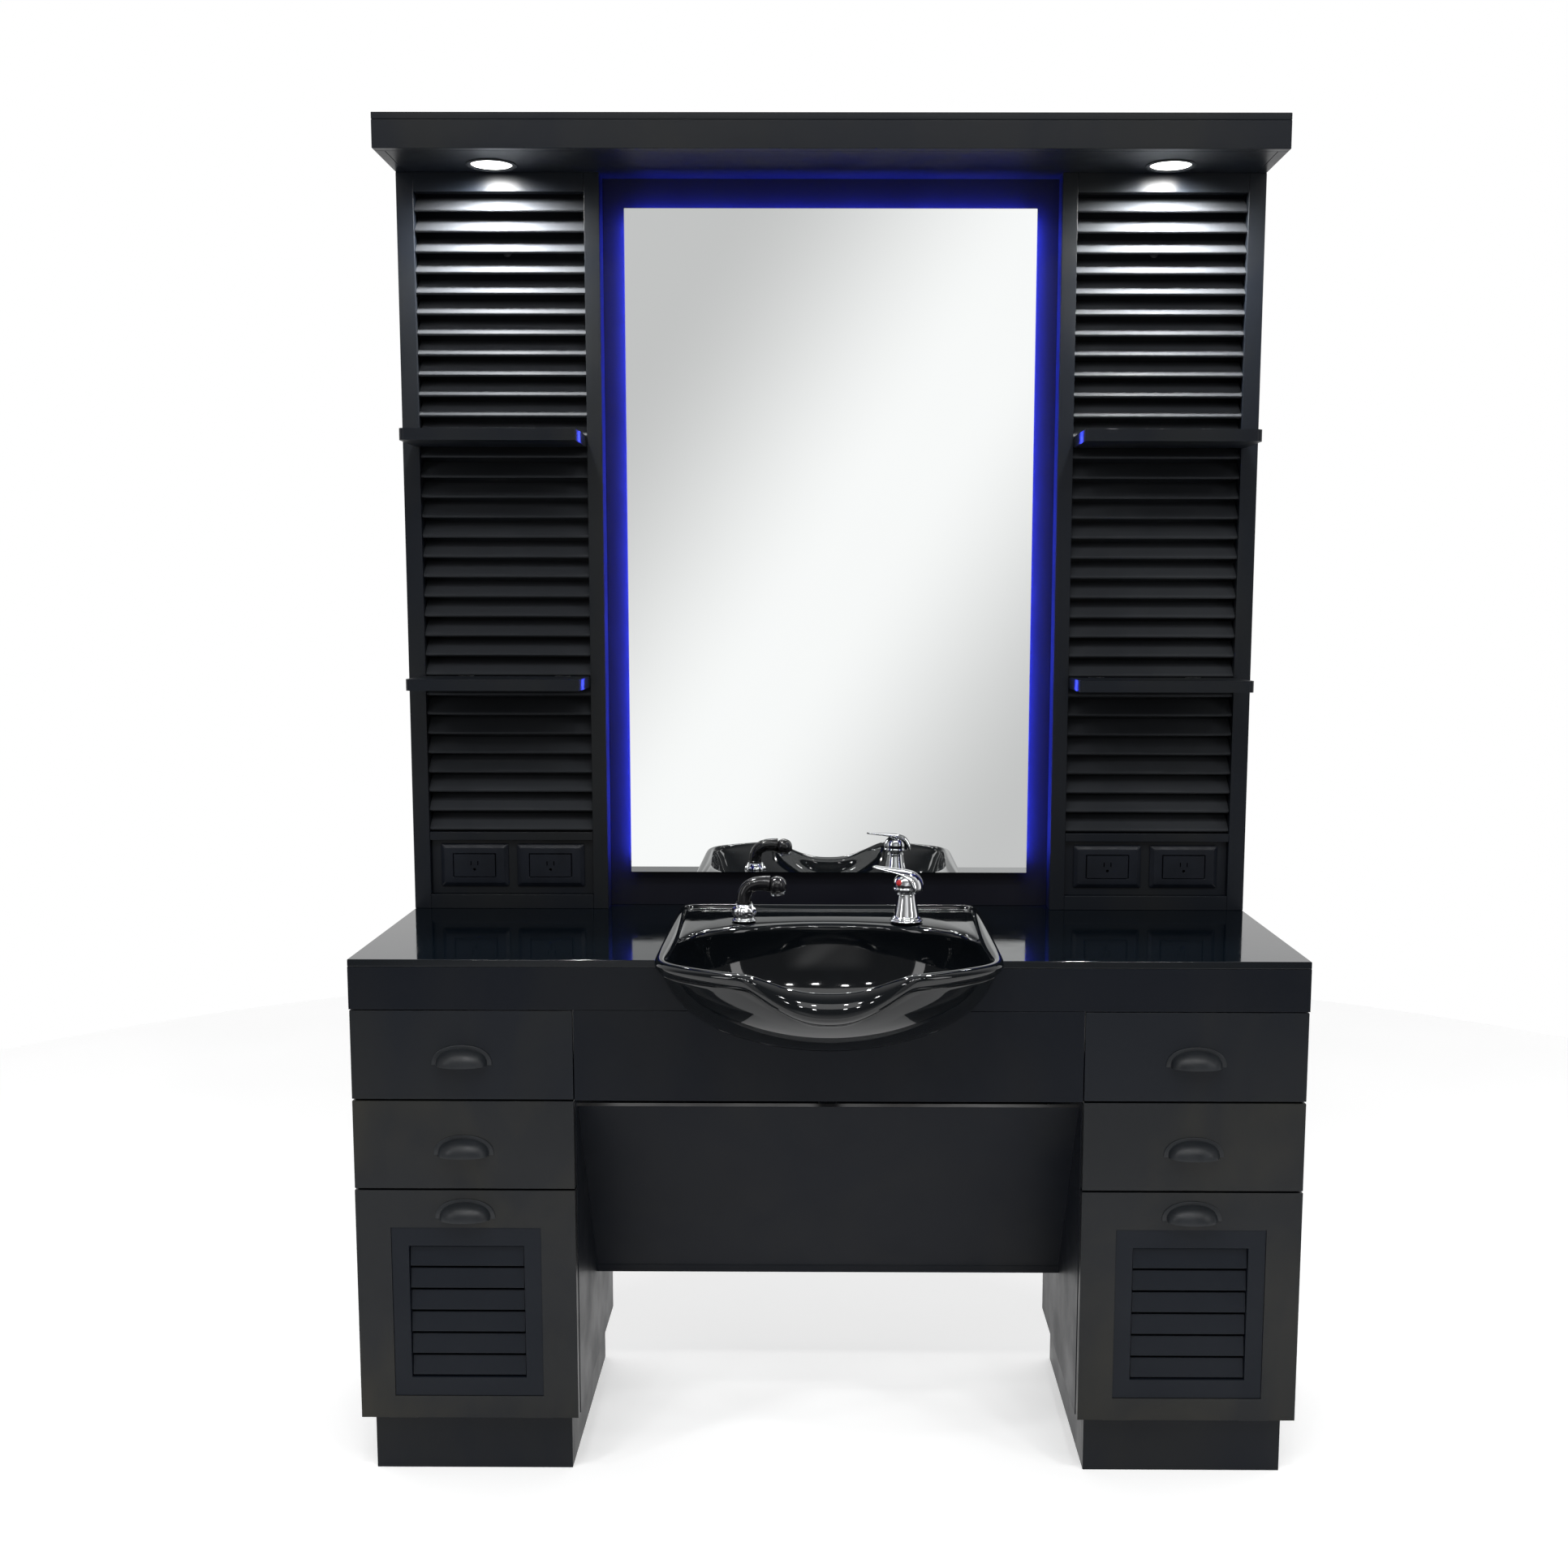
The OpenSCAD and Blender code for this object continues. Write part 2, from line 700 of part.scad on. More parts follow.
module faucet_body() {
    z = deck_z - counter_h;
    color(chrome) placed() translate([faucet_x, faucet_y, counter_h]) {
        rotate_extrude() polygon([
            [0, z + 0.3], [27, z + 0.3], [28.5, z + 2], [27.5, z + 5], [24, z + 7], [22.5, z + 12],
            [19.5, z + 24], [17, z + 36], [15.6, z + 46], [15.4, z + 50], [0, z + 50]
        ]);
        translate([0, 0, -34]) cylinder(r = 14.4, h = 34 + z + 1);
        translate([0, 0, nut_z - counter_h]) tube(19, 14.4, 6);
    }
}

module lever_pivot(r) {
    rotate([90, 0, 0]) cylinder(r = r, h = 44, center = true, $fn = 32);
}

// The stem that turns in the body, with the ball that the lever rocks on
module faucet_cartridge() {
    stem_z = deck_z + 50.4;
    color(chrome) placed() translate([faucet_x, faucet_y, 0]) difference() {
        union() {
            translate([0, 0, stem_z]) cylinder(r = 12, h = 10);
            intersection() {
                translate([0, 0, faucet_ball_z]) sphere(r = ball_r);
                translate([0, 0, stem_z + 30]) cube([60, 60, 54], center = true);
            }
        }
        translate([0, 0, faucet_ball_z]) rotate([0, 0, -lever_turn]) lever_pivot(pivot_r + 0.15);
    }
}

// Side view of the lever: from its tip over the ball to the tail that hangs behind it
lever_outline = [
    [-60, 27], [-59, 31], [-40, 30], [-10, 28.5], [12, 24], [25, 14], [31, -2], [28, -4],
    [22, 9], [10, 18], [-14, 22.5], [-40, 25.5]
];

module faucet_lever() {
    color(chrome) placed() translate([faucet_x, faucet_y, faucet_ball_z]) rotate([0, 0, -lever_turn])
        union() {
            difference() {
                union() {
                    intersection() {
                        sphere(r = 23);
                        translate([0, 0, 18]) cube([60, 60, 50], center = true);
                    }
                    rotate([90, 0, 0]) translate([0, 0, -11]) linear_extrude(22) polygon(lever_outline);
                }
                sphere(r = ball_r + 0.5);
                translate([0, 0, -12]) cube([40, 16, 10], center = true);
            }
            lever_pivot(pivot_r);
        }
}

// Two tails that run back from the mixer and down, each ending in a threaded union for the supply
module supply_tails() {
    back = 80;
    tail_r = 5;
    elbow_r = 6.2;
    bend_z = counter_h - 74;
    color(steel) placed() for (side = [-1, 1]) {
        x = faucet_x + 7.5 * side;
        y1 = faucet_y + back;
        lean = atan2(12 * side, back);
        union() {
            translate([x, faucet_y, bend_z]) cylinder(r = tail_r, h = 39.6, $fn = 32);
            translate([x, faucet_y, bend_z]) sphere(r = elbow_r, $fn = 32);
            translate([x, faucet_y, bend_z]) rotate([-90, 0, -lean])
                cylinder(r = tail_r, h = back / cos(lean), $fn = 32);
            translate([x + 12 * side, y1, bend_z]) sphere(r = elbow_r, $fn = 32);
            translate([x + 12 * side, y1, counter_h - 250]) {
                cylinder(r = 10.48, h = 14);
                translate([0, 0, 14]) cylinder(r = 13, h = 12, $fn = 6);
                translate([0, 0, 26]) cylinder(r = tail_r, h = 150, $fn = 32);
            }
        }
    }
}

module spray_socket() {
    color(chrome) placed() translate([spray_x, spray_y, 0]) difference() {
        union() {
            translate([0, 0, deck_z + 0.3]) rotate_extrude() polygon([
                [0, 0], [20.5, 0], [21, 3], [19, 6], [20.2, 12], [20.2, 21], [18, 27], [15, 30], [0, 30]
            ]);
            translate([0, 0, counter_h - 36]) cylinder(r = 14.2, h = 36 + deck_z - counter_h + 1);
            translate([0, 0, nut_z]) cylinder(r = 22, h = 6);
        }
        translate([0, 0, counter_h - 60]) cylinder(r = ferrule_r + 0.3, h = 200);
    }
}

// The end fitting of the hose, which drops into the socket
module spray_ferrule() {
    color(black_plastic) placed() translate([spray_x, spray_y, 0]) union() {
        translate([0, 0, counter_h - 20]) cylinder(r = ferrule_r, h = 68);
        translate([0, 0, deck_z + 30.7]) cylinder(r = 13.5, h = 3);
    }
}

spray_foot = deck_z + 34.1;
spray_bend = 26;
spray_rise = 4;
grip_r = 12;
head_r = 16.5;
head_x = 57;
head_cut = 11;
head_lean = 8;

// Moves to the middle of the sprayer's head; its face points down and a little outwards
module at_spray_head() {
    translate([spray_x + head_x, spray_y, spray_foot + spray_rise + spray_bend - 2.5])
        rotate([0, 180 - head_lean, 0]) children();
}

// A grip that rises from the ferrule, turns over to the right and ends in a round head
module spray_handle() {
    color(black_plastic) placed() difference() {
        union() {
            translate([spray_x, spray_y, spray_foot]) {
                cylinder(r = grip_r + 0.8, h = spray_rise + 1);
                translate([spray_bend, 0, spray_rise]) rotate([90, 0, 0]) rotate([0, 0, 90])
                    rotate_extrude(angle = 90) translate([spray_bend, 0]) circle(r = grip_r);
                translate([spray_bend - 2, 0, spray_rise + spray_bend]) rotate([0, 92, 0])
                    cylinder(r1 = grip_r + 1, r2 = 14.2, h = head_x - spray_bend);
            }
            at_spray_head() sphere(r = head_r);
        }
        at_spray_head() translate([0, 0, head_cut]) cylinder(r = 40, h = 20);
    }
}

module spray_nozzle() {
    color(chrome) placed() at_spray_head() translate([0, 0, head_cut + 0.3]) difference() {
        cylinder(r = 12.2, h = 5.5);
        for (a = [0 : 60 : 300]) rotate(a) translate([7, 0, 3]) cylinder(r = 1.2, h = 4, $fn = 16);
    }
}

// ---------------------------------------------------------------- towers

module tower_carcass(side) {
    y0 = tower_setback + frame_t;
    back = 9;
    y1 = counter_d - back - seam;
    color(lacquer) placed() on_side(side) {
        board(ped_in, ped_in + board_t, y0, y1, counter_h, tower_top);
        board(half_w - board_t, half_w, y0, y1, counter_h, tower_top);
        x0 = ped_in + board_t + seam;
        x1 = half_w - board_t - seam;
        board(x0, x1, y0, y1, counter_h, counter_h + board_t);
        board(x0, x1, y0, y1, tower_top - board_t, tower_top);
        difference() {
            board(ped_in, half_w, counter_d - back, counter_d, counter_h, tower_top);
            for (z = [1450, 2050]) translate([ped_mid, y1 - 1, z]) rotate([-90, 0, 0])
                cylinder(r = 4, h = back + 2);
            translate([ped_mid, y1 - 1, 940]) rotate([-90, 0, 0]) cylinder(r = 11, h = back + 2);
        }
    }
}

module left_tower_carcass() {
    tower_carcass(-1);
}

module right_tower_carcass() {
    tower_carcass(1);
}

module tower_face_frames() {
    y0 = tower_setback;
    y1 = y0 + frame_t;
    color(lacquer) placed() both_sides() {
        board(ped_in, bay_in, y0, y1, counter_h, tower_top);
        board(bay_out, half_w, y0, y1, counter_h, tower_top);
        x0 = bay_in + seam;
        x1 = bay_out - seam;
        board(x0, x1, y0, y1, louver_z1, tower_top);
        board(x0, x1, y0, y1, outlet_z1, louver_z0);
        board(x0, x1, y0, y1, counter_h, outlet_z0);
        difference() {
            board(x0, x1, outlet_panel_y, outlet_panel_y + 10, outlet_z0 + seam, outlet_z1 - seam);
            for (x = outlet_xs) board(x - 35, x + 35, 0, 600, outlet_z - 19, outlet_z + 19);
        }
    }
}

module rods_at(z, r) {
    for (x = [shelf_mid - rod_spread / 2, shelf_mid + rod_spread / 2])
        translate([x, tower_setback - shelf_d + 18, z - shelf_t / 2]) rotate([-90, 0, 0])
            cylinder(r = r, h = counter_d - 9 - tower_setback + shelf_d - 18, $fn = 32);
}

// Slats that lean out at the bottom; the shelf rods pass through the ones that they meet
module tower_louvers() {
    y_mid = tower_setback + 3 + (slat_w * sin(slat_tilt) + slat_t * cos(slat_tilt)) / 2;
    color(lacquer) placed() both_sides() difference() {
        for (i = [0 : slat_count - 1])
            translate([bay_mid, y_mid, louver_z0 + slat_pitch * (i + 0.5)]) rotate([-slat_tilt, 0, 0])
                cube([bay_w - 2 * seam, slat_t, slat_w], center = true);
        rods_at(shelf_z_upper, rod_r + 0.6);
        rods_at(shelf_z_lower, rod_r + 0.6);
    }
}

module shelves() {
    y0 = tower_setback - shelf_d;
    round_r = 12;
    color(lacquer) placed() both_sides() for (z = [shelf_z_upper, shelf_z_lower]) difference() {
        translate([0, 0, z - shelf_t]) linear_extrude(shelf_t) union() {
            translate([shelf_in, y0]) square([shelf_out - shelf_in - round_r, shelf_d]);
            translate([shelf_in, y0 + round_r]) square([shelf_out - shelf_in, shelf_d - round_r]);
            translate([shelf_out - round_r, y0 + round_r]) circle(r = round_r);
        }
        rods_at(z, rod_r + 0.1);
    }
}

module shelf_rods() {
    color(steel) placed() both_sides() for (z = [shelf_z_upper, shelf_z_lower]) {
        rods_at(z, rod_r);
        for (x = [shelf_mid - rod_spread / 2, shelf_mid + rod_spread / 2])
            translate([x, counter_d - 12, z - shelf_t / 2]) rotate([-90, 0, 0])
                tube(16, rod_r, 3);
    }
}

module outlet_plates() {
    y1 = outlet_panel_y;
    color(black_plastic) placed() both_sides() for (x = outlet_xs) difference() {
        board(x - plate_w / 2, x + plate_w / 2, y1 - plate_t, y1, outlet_z - plate_h / 2,
              outlet_z + plate_h / 2);
        board(x - insert_w / 2, x + insert_w / 2, 0, 600, outlet_z - insert_h / 2, outlet_z + insert_h / 2);
    }
}

// A socket block with one three-pin outlet in the middle of its face
module receptacles() {
    y0 = outlet_panel_y - plate_t - 1;
    color(black_plastic) placed() both_sides() for (x = outlet_xs) difference() {
        union() {
            board(x - insert_w / 2 + hair, x + insert_w / 2 - hair, y0, outlet_panel_y,
                  outlet_z - insert_h / 2 + hair, outlet_z + insert_h / 2 - hair);
            board(x - 33, x + 33, outlet_panel_y, outlet_panel_y + 34, outlet_z - 17, outlet_z + 17);
        }
        for (dx = [-6.35, 6.35]) board(x + dx - 0.9, x + dx + 0.9, y0 - 1, y0 + 17, outlet_z, outlet_z + 8);
        translate([x, y0 - 1, outlet_z - 7.5]) rotate([-90, 0, 0]) cylinder(r = 2.6, h = 18, $fn = 32);
    }
}

// ---------------------------------------------------------------- mirror bay

module center_back_panel() {
    color(lacquer) placed() board(-ped_in, ped_in, recess_y, recess_y + recess_t, counter_h, tower_top);
}

module mirror_glass() {
    color(chrome) placed()
        board(-mirror_w / 2, mirror_w / 2, mirror_y, mirror_y + mirror_t, mirror_z0, mirror_z1);
}

// The board that holds the mirror off the back panel, smaller all round so that light spills out
back_in = 16;

module mirror_backing() {
    color(lacquer) placed() board(-mirror_w / 2 + back_in, mirror_w / 2 - back_in,
        mirror_y + mirror_t, recess_y, mirror_z0 + back_in, mirror_z1 - back_in);
}

// A light tape along the sides and the top of the backing board
module led_strip() {
    x = mirror_w / 2 - back_in;
    z = mirror_z1 - back_in;
    y0 = mirror_y + mirror_t + 2;
    y1 = recess_y - 2;
    color("blue") placed() {
        both_sides() board(x, x + 2.5, y0, y1, mirror_z0 + back_in + 10, z - 5);
        board(-x + 5, x - 5, y0, y1, z, z + 2.5);
    }
}

// ---------------------------------------------------------------- crown

crown_z1 = tower_top + crown_h;

module crown_fascia() {
    z1 = crown_z1 - crown_board;
    y1 = crown_setback + board_t;
    color(lacquer) placed() {
        board(-half_w, half_w, crown_setback, y1, tower_top, z1);
        both_sides() board(half_w - board_t, half_w, y1 + seam, counter_d, tower_top, z1);
    }
}

module crown_soffit() {
    x = half_w - board_t;
    color(lacquer) placed() difference() {
        board(-x, x, crown_setback + board_t, counter_d, tower_top, tower_top + crown_board);
        both_sides() translate([light_x, light_y, tower_top - 1])
            cylinder(r = light_r + 2.5, h = crown_board + 2);
    }
}

module crown_top() {
    color(lacquer) placed()
        board(-half_w, half_w, crown_setback, counter_d, crown_z1 - crown_board, crown_z1);
}

// A flange under the soffit and a can above it
module spotlight_trims() {
    color(chrome) placed() both_sides() translate([light_x, light_y, tower_top]) rotate_extrude() polygon([
        [light_r, -2], [trim_r - 1.5, -3], [trim_r, -1.5], [trim_r, 0], [light_r + 2.2, 0], [light_r + 2.2, 28],
        [0, 28], [0, 26], [light_r + 0.3, 26], [light_r + 0.3, 6], [light_r, 5]
    ]);
}

module spotlight_lenses() {
    color("white") placed() both_sides() translate([light_x, light_y, tower_top - 1])
        cylinder(r = light_r - 0.2, h = 5);
}

module led_driver() {
    z0 = tower_top + crown_board;
    color(steel) placed() union() {
        board(-85, 85, 440, 485, z0, z0 + 22);
        board(-100, 100, 450, 475, z0, z0 + 3);
    }
}

plinths();
left_pedestal_carcass();
right_pedestal_carcass();
drawer_runners();
hamper_hinges();
counter_top();
counter_fascia();
bowl_apron();
knee_space_panels();
shampoo_bowl();
bowl_clamps();
drain_flange();
strainer_basket();
p_trap();
faucet_body();
faucet_cartridge();
faucet_lever();
supply_tails();
spray_socket();
spray_ferrule();
spray_handle();
spray_nozzle();
left_tower_carcass();
right_tower_carcass();
tower_face_frames();
tower_louvers();
shelves();
shelf_rods();
outlet_plates();
receptacles();
center_back_panel();
mirror_glass();
mirror_backing();
led_strip();
crown_fascia();
crown_soffit();
crown_top();
spotlight_trims();
spotlight_lenses();
led_driver();
left_upper_drawer_front();
left_upper_drawer_box();
left_upper_drawer_pull();
left_lower_drawer_front();
left_lower_drawer_box();
left_lower_drawer_pull();
right_upper_drawer_front();
right_upper_drawer_box();
right_upper_drawer_pull();
right_lower_drawer_front();
right_lower_drawer_box();
right_lower_drawer_pull();
left_hamper_front();
left_hamper_vent();
left_hamper_bin();
left_hamper_pull();
right_hamper_front();
right_hamper_vent();
right_hamper_bin();
right_hamper_pull();
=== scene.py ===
import json
import math

import bmesh
import bpy
from mathutils import Matrix, Vector


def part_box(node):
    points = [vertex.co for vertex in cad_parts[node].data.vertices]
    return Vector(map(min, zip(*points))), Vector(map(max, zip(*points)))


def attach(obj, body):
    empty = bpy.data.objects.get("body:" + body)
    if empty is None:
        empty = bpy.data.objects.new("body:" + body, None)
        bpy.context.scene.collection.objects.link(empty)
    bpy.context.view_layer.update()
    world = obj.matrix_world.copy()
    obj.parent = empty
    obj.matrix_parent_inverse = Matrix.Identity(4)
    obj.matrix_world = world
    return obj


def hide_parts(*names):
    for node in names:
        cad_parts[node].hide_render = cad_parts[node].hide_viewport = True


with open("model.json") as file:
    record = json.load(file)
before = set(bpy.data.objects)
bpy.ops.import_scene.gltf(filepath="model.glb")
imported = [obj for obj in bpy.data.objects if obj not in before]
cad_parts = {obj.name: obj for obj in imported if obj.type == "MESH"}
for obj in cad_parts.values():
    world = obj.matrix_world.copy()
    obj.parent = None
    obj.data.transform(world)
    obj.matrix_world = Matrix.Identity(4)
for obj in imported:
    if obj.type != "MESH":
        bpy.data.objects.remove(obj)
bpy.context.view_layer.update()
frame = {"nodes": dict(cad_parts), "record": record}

record = frame["record"]
BODY_OF = {n: b for b, ns in record["behaviour"]["bodies"].items() for n in ns}
MM = 0.001
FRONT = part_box("counter_top")[0].y
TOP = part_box("counter_top")[1].z


def at(x, y, z):
    """A point from millimetres: x from the middle, y behind the counter's front edge, z above the floor."""
    return Vector((x * MM, FRONT + y * MM, z * MM))


# ------------------------------------------------------------------ materials


class Shade:
    """A procedural material: a Principled shader with helpers that add nodes to it."""

    def __init__(self, name, color, rough, metal=0.0, **sockets):
        self.mat = bpy.data.materials.new(name)
        self.mat.use_nodes = True
        self.t = self.mat.node_tree
        self.bsdf = self.t.nodes["Principled BSDF"]
        self.put("Base Color", (*color, 1))
        self.put("Roughness", rough)
        self.put("Metallic", metal)
        for key, value in sockets.items():
            self.put(key.replace("_", " "), value)
        self.coord = self.t.nodes.new("ShaderNodeTexCoord").outputs["Object"]
        self.height = None

    def put(self, socket, value):
        self.bsdf.inputs[socket].default_value = value

    def node(self, kind, **values):
        n = self.t.nodes.new(kind)
        for key, value in values.items():
            if hasattr(n, key):
                setattr(n, key, value)
            else:
                n.inputs[key.replace("_", " ")].default_value = value
        return n

    def link(self, a, b):
        self.t.links.new(a, b)

    def noise(self, scale, stretch=(1, 1, 1), detail=3.0, distortion=0.0, turn=(0, 0, 0)):
        m = self.node("ShaderNodeMapping", Scale=stretch, Rotation=turn)
        self.link(self.coord, m.inputs["Vector"])
        n = self.node("ShaderNodeTexNoise", Scale=scale, Detail=detail, Distortion=distortion)
        self.link(m.outputs["Vector"], n.inputs["Vector"])
        return n.outputs["Fac"]

    def remap(self, fac, low, high, out_low, out_high):
        n = self.node("ShaderNodeMapRange", From_Min=low, From_Max=high, To_Min=out_low, To_Max=out_high)
        self.link(fac, n.inputs["Value"])
        return n.outputs["Result"]

    def vary_color(self, fac, a, b, low=0.35, high=0.65):
        n = self.node("ShaderNodeValToRGB")
        n.color_ramp.elements[0].position = low
        n.color_ramp.elements[0].color = (*a, 1)
        n.color_ramp.elements[1].position = high
        n.color_ramp.elements[1].color = (*b, 1)
        self.link(fac, n.inputs["Fac"])
        self.link(n.outputs["Color"], self.bsdf.inputs["Base Color"])
        return n

    def vary_rough(self, fac, a, b, low=0.35, high=0.65):
        self.link(self.remap(fac, low, high, a, b), self.bsdf.inputs["Roughness"])

    def bump(self, fac, distance, strength=1.0):
        n = self.node("ShaderNodeBump", Distance=distance, Strength=strength)
        self.link(fac, n.inputs["Height"])
        if self.height is not None:
            self.link(self.height, n.inputs["Normal"])
        self.height = n.outputs["Normal"]
        self.link(self.height, self.bsdf.inputs["Normal"])

    def glow(self, color, strength):
        self.put("Emission Color", (*color, 1))
        self.put("Emission Strength", strength)


def lacquer(name, stretch, base=(0.0050, 0.0066, 0.0098), tone_and_reflection_patch=(0.0088, 0.0098, 0.0108),
            rough=0.36, gloss=0.15):
    """Black satin lacquer over fine-grained board: faint grain, orange peel and patches of lighter colour,
    which on the lower fronts are a painted reflection.
    """
    s = Shade(name, base, rough, Specular_IOR_Level=gloss)
    tone_and_reflection_mask = s.noise(5.5, (1, 1, 0.55), 4.0, 0.6)
    s.vary_color(tone_and_reflection_mask, base, tone_and_reflection_patch, 0.42, 0.70)
    s.vary_rough(s.noise(9.0, (1, 1, 1), 5.0), rough - 0.05, rough + 0.07)
    s.bump(s.noise(240.0, stretch, 4.0), 0.00006)
    s.bump(s.noise(620.0, (1, 1, 1), 2.0), 0.00003)
    return s.mat


GRAIN_X, GRAIN_Z = (0.06, 1, 1), (1, 1, 0.06)
LACQUER = {
    "x": lacquer("black_lacquer_level_grain", GRAIN_X),
    "z": lacquer("black_lacquer_upright_grain", GRAIN_Z),
}
# The lower fronts are the same lacquer made lighter and warmer, with brownish blotches: painted reflection of
# the pale floor and the room.
FRONT_BOARD_PAINTED_REFLECTION = lacquer("black_lacquer_fronts_painted_reflection", GRAIN_Z,
                      (0.0062, 0.0074, 0.0090), (0.0165, 0.0160, 0.0125), 0.36, 0.2)
VENT = lacquer("black_lacquer_vents", GRAIN_Z,
               (0.0052, 0.0072, 0.0112), (0.0070, 0.0090, 0.0130), 0.4, 0.13)
# The slats are the same black lacquer with a base several times lighter: painted light standing in for the
# even light on their faces.
SLAT = lacquer("black_lacquer_slats_painted_light", GRAIN_X,
               (0.0205, 0.0222, 0.0252), (0.0255, 0.0275, 0.0305), 0.58, 0.04)
INNER = lacquer("black_lacquer_inner_boards", GRAIN_Z,
                (0.0034, 0.0047, 0.0078), (0.0055, 0.0065, 0.0085), 0.36, 0.105)
BACK = lacquer("black_lacquer_back_panel", GRAIN_Z,
               (0.0045, 0.0048, 0.009), (0.006, 0.0065, 0.011), 0.5, 0.14)


def gloss_top():
    s = Shade("black_gloss_laminate", (0.0014, 0.0027, 0.0044), 0.1, Specular_IOR_Level=0.24)
    s.vary_rough(s.noise(26.0, (1, 1, 1), 6.0), 0.05, 0.10)
    s.bump(s.noise(60.0, (1, 1, 1), 2.0), 0.00002)
    return s.mat


def glaze():
    s = Shade("black_bowl_glaze", (0.0024, 0.0032, 0.0042), 0.045, Specular_IOR_Level=0.38)
    s.vary_rough(s.noise(40.0, (1, 1, 1), 4.0), 0.035, 0.06)
    s.bump(s.noise(34.0, (1, 1, 1), 1.0), 0.00005)
    return s.mat


def plated(name="chrome_plate", tone=(0.80, 0.81, 0.83), rough=0.055):
    s = Shade(name, tone, rough, 1.0)
    s.vary_rough(s.noise(90.0, (1, 1, 1), 5.0), rough * 0.7, rough * 1.6)
    s.vary_color(s.noise(30.0), tuple(c * 0.94 for c in tone), tone)
    s.bump(s.noise(160.0), 0.000006)
    return s.mat


def brushed(name, tone, rough, stretch):
    s = Shade(name, tone, rough, 1.0)
    f = s.noise(420.0, stretch, 4.0)
    s.vary_rough(f, rough - 0.08, rough + 0.12)
    s.vary_color(s.noise(18.0, (1, 1, 1), 5.0), tuple(c * 0.82 for c in tone), tone)
    s.bump(f, 0.00002)
    return s.mat


def plastic(name, color, rough, texture=900.0, gloss=0.45):
    s = Shade(name, color, rough, Specular_IOR_Level=gloss)
    s.vary_rough(s.noise(60.0, (1, 1, 1), 4.0), rough - 0.06, rough + 0.06)
    s.vary_color(s.noise(22.0), color, tuple(c * 1.35 for c in color))
    s.bump(s.noise(texture, (1, 1, 1), 2.0), 0.00002)
    return s.mat


def plywood():
    """Pale plywood: streaked faces and thin dark glue lines."""
    s = Shade("birch_plywood", (0.55, 0.40, 0.25), 0.48)
    streak = s.noise(46.0, (0.12, 1, 1), 6.0, 1.2)
    s.vary_color(streak, (0.40, 0.27, 0.15), (0.66, 0.51, 0.34), 0.3, 0.7)
    s.vary_rough(s.noise(60.0), 0.42, 0.58)
    s.bump(streak, 0.0001)
    s.bump(s.noise(700.0, (0.1, 1, 1), 3.0), 0.00004)
    return s.mat


def silvered():
    s = Shade("mirror_silver", (0.90, 0.915, 0.91), 0.004, 1.0)
    s.vary_color(s.noise(2.0, (1, 1, 1), 2.0), (0.895, 0.91, 0.905), (0.905, 0.92, 0.915))
    return s.mat


def lit(name, color, strength, scale):
    s = Shade(name, tuple(min(1, c + 0.1) for c in color), 0.35)
    n = s.noise(scale, (1, 1, 1), 1.0)
    ramp = s.node("ShaderNodeValToRGB")
    ramp.color_ramp.elements[0].color = (*[c * 0.8 for c in color], 1)
    ramp.color_ramp.elements[1].color = (*color, 1)
    s.link(n, ramp.inputs["Fac"])
    s.link(ramp.outputs["Color"], s.bsdf.inputs["Emission Color"])
    s.put("Emission Strength", strength)
    return s.mat


GLOSS = gloss_top()
GLAZE = glaze()
CHROME = plated()
STEEL = brushed("zinc_plated_steel", (0.56, 0.57, 0.58), 0.34, (1, 0.05, 1))
COPPER = brushed("copper_tail", (0.72, 0.42, 0.27), 0.3, (1, 1, 0.05))
BLACK_METAL = plastic("black_pull_enamel", (0.009, 0.0105, 0.0125), 0.40, 1300.0, 0.28)
BLACK_PLASTIC = plastic("black_outlet_plastic", (0.0052, 0.0066, 0.0100), 0.36, 1500.0, 0.16)
GRIP = plastic("black_sprayer_shell", (0.006, 0.006, 0.007), 0.16, 700.0)
PLYWOOD = plywood()
SILVER = silvered()
TAPE_GLOW = (0.05, 0.07, 1.0)
BLUE = lit("blue_light_tape", (0.03, 0.05, 1.0), 30.0, 220.0)
LENS = lit("spotlight_lens", (1.0, 0.985, 0.95), 9.0, 140.0)
RED = plastic("red_dot_enamel", (0.28, 0.012, 0.012), 0.25)

# ------------------------------------------------------------------ helpers


def own(obj, node, mat, replaces=True):
    """Gives a new piece its material, its body and its slot, and hides the CAD node it stands for."""
    obj.data.materials.clear()
    obj.data.materials.append(mat)
    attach(obj, BODY_OF[node])
    if replaces:
        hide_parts(node)
    return obj


def apply_modifiers(obj):
    dg = bpy.context.evaluated_depsgraph_get()
    mesh = bpy.data.meshes.new_from_object(obj.evaluated_get(dg), depsgraph=dg)
    old = obj.data
    obj.modifiers.clear()
    obj.data = mesh
    bpy.data.meshes.remove(old)
    mesh.name = obj.name


def add_object(name, bm):
    bmesh.ops.recalc_face_normals(bm, faces=bm.faces)
    mesh = bpy.data.meshes.new(name)
    bm.to_mesh(mesh)
    bm.free()
    obj = bpy.data.objects.new(name, mesh)
    bpy.context.scene.collection.objects.link(obj)
    return obj


def smooth(obj, angle=38, weighted=True):
    obj.data.shade_smooth()
    obj.data.set_sharp_from_angle(angle=math.radians(angle))
    if weighted:
        m = obj.modifiers.new("weighted", "WEIGHTED_NORMAL")
        m.keep_sharp = True
    apply_modifiers(obj)


def bevelled(obj, width, segments=2, angle=28):
    m = obj.modifiers.new("bevel", "BEVEL")
    m.width = width * MM
    m.segments = segments
    m.limit_method = "ANGLE"
    m.angle_limit = math.radians(angle)
    m.use_clamp_overlap = True
    apply_modifiers(obj)


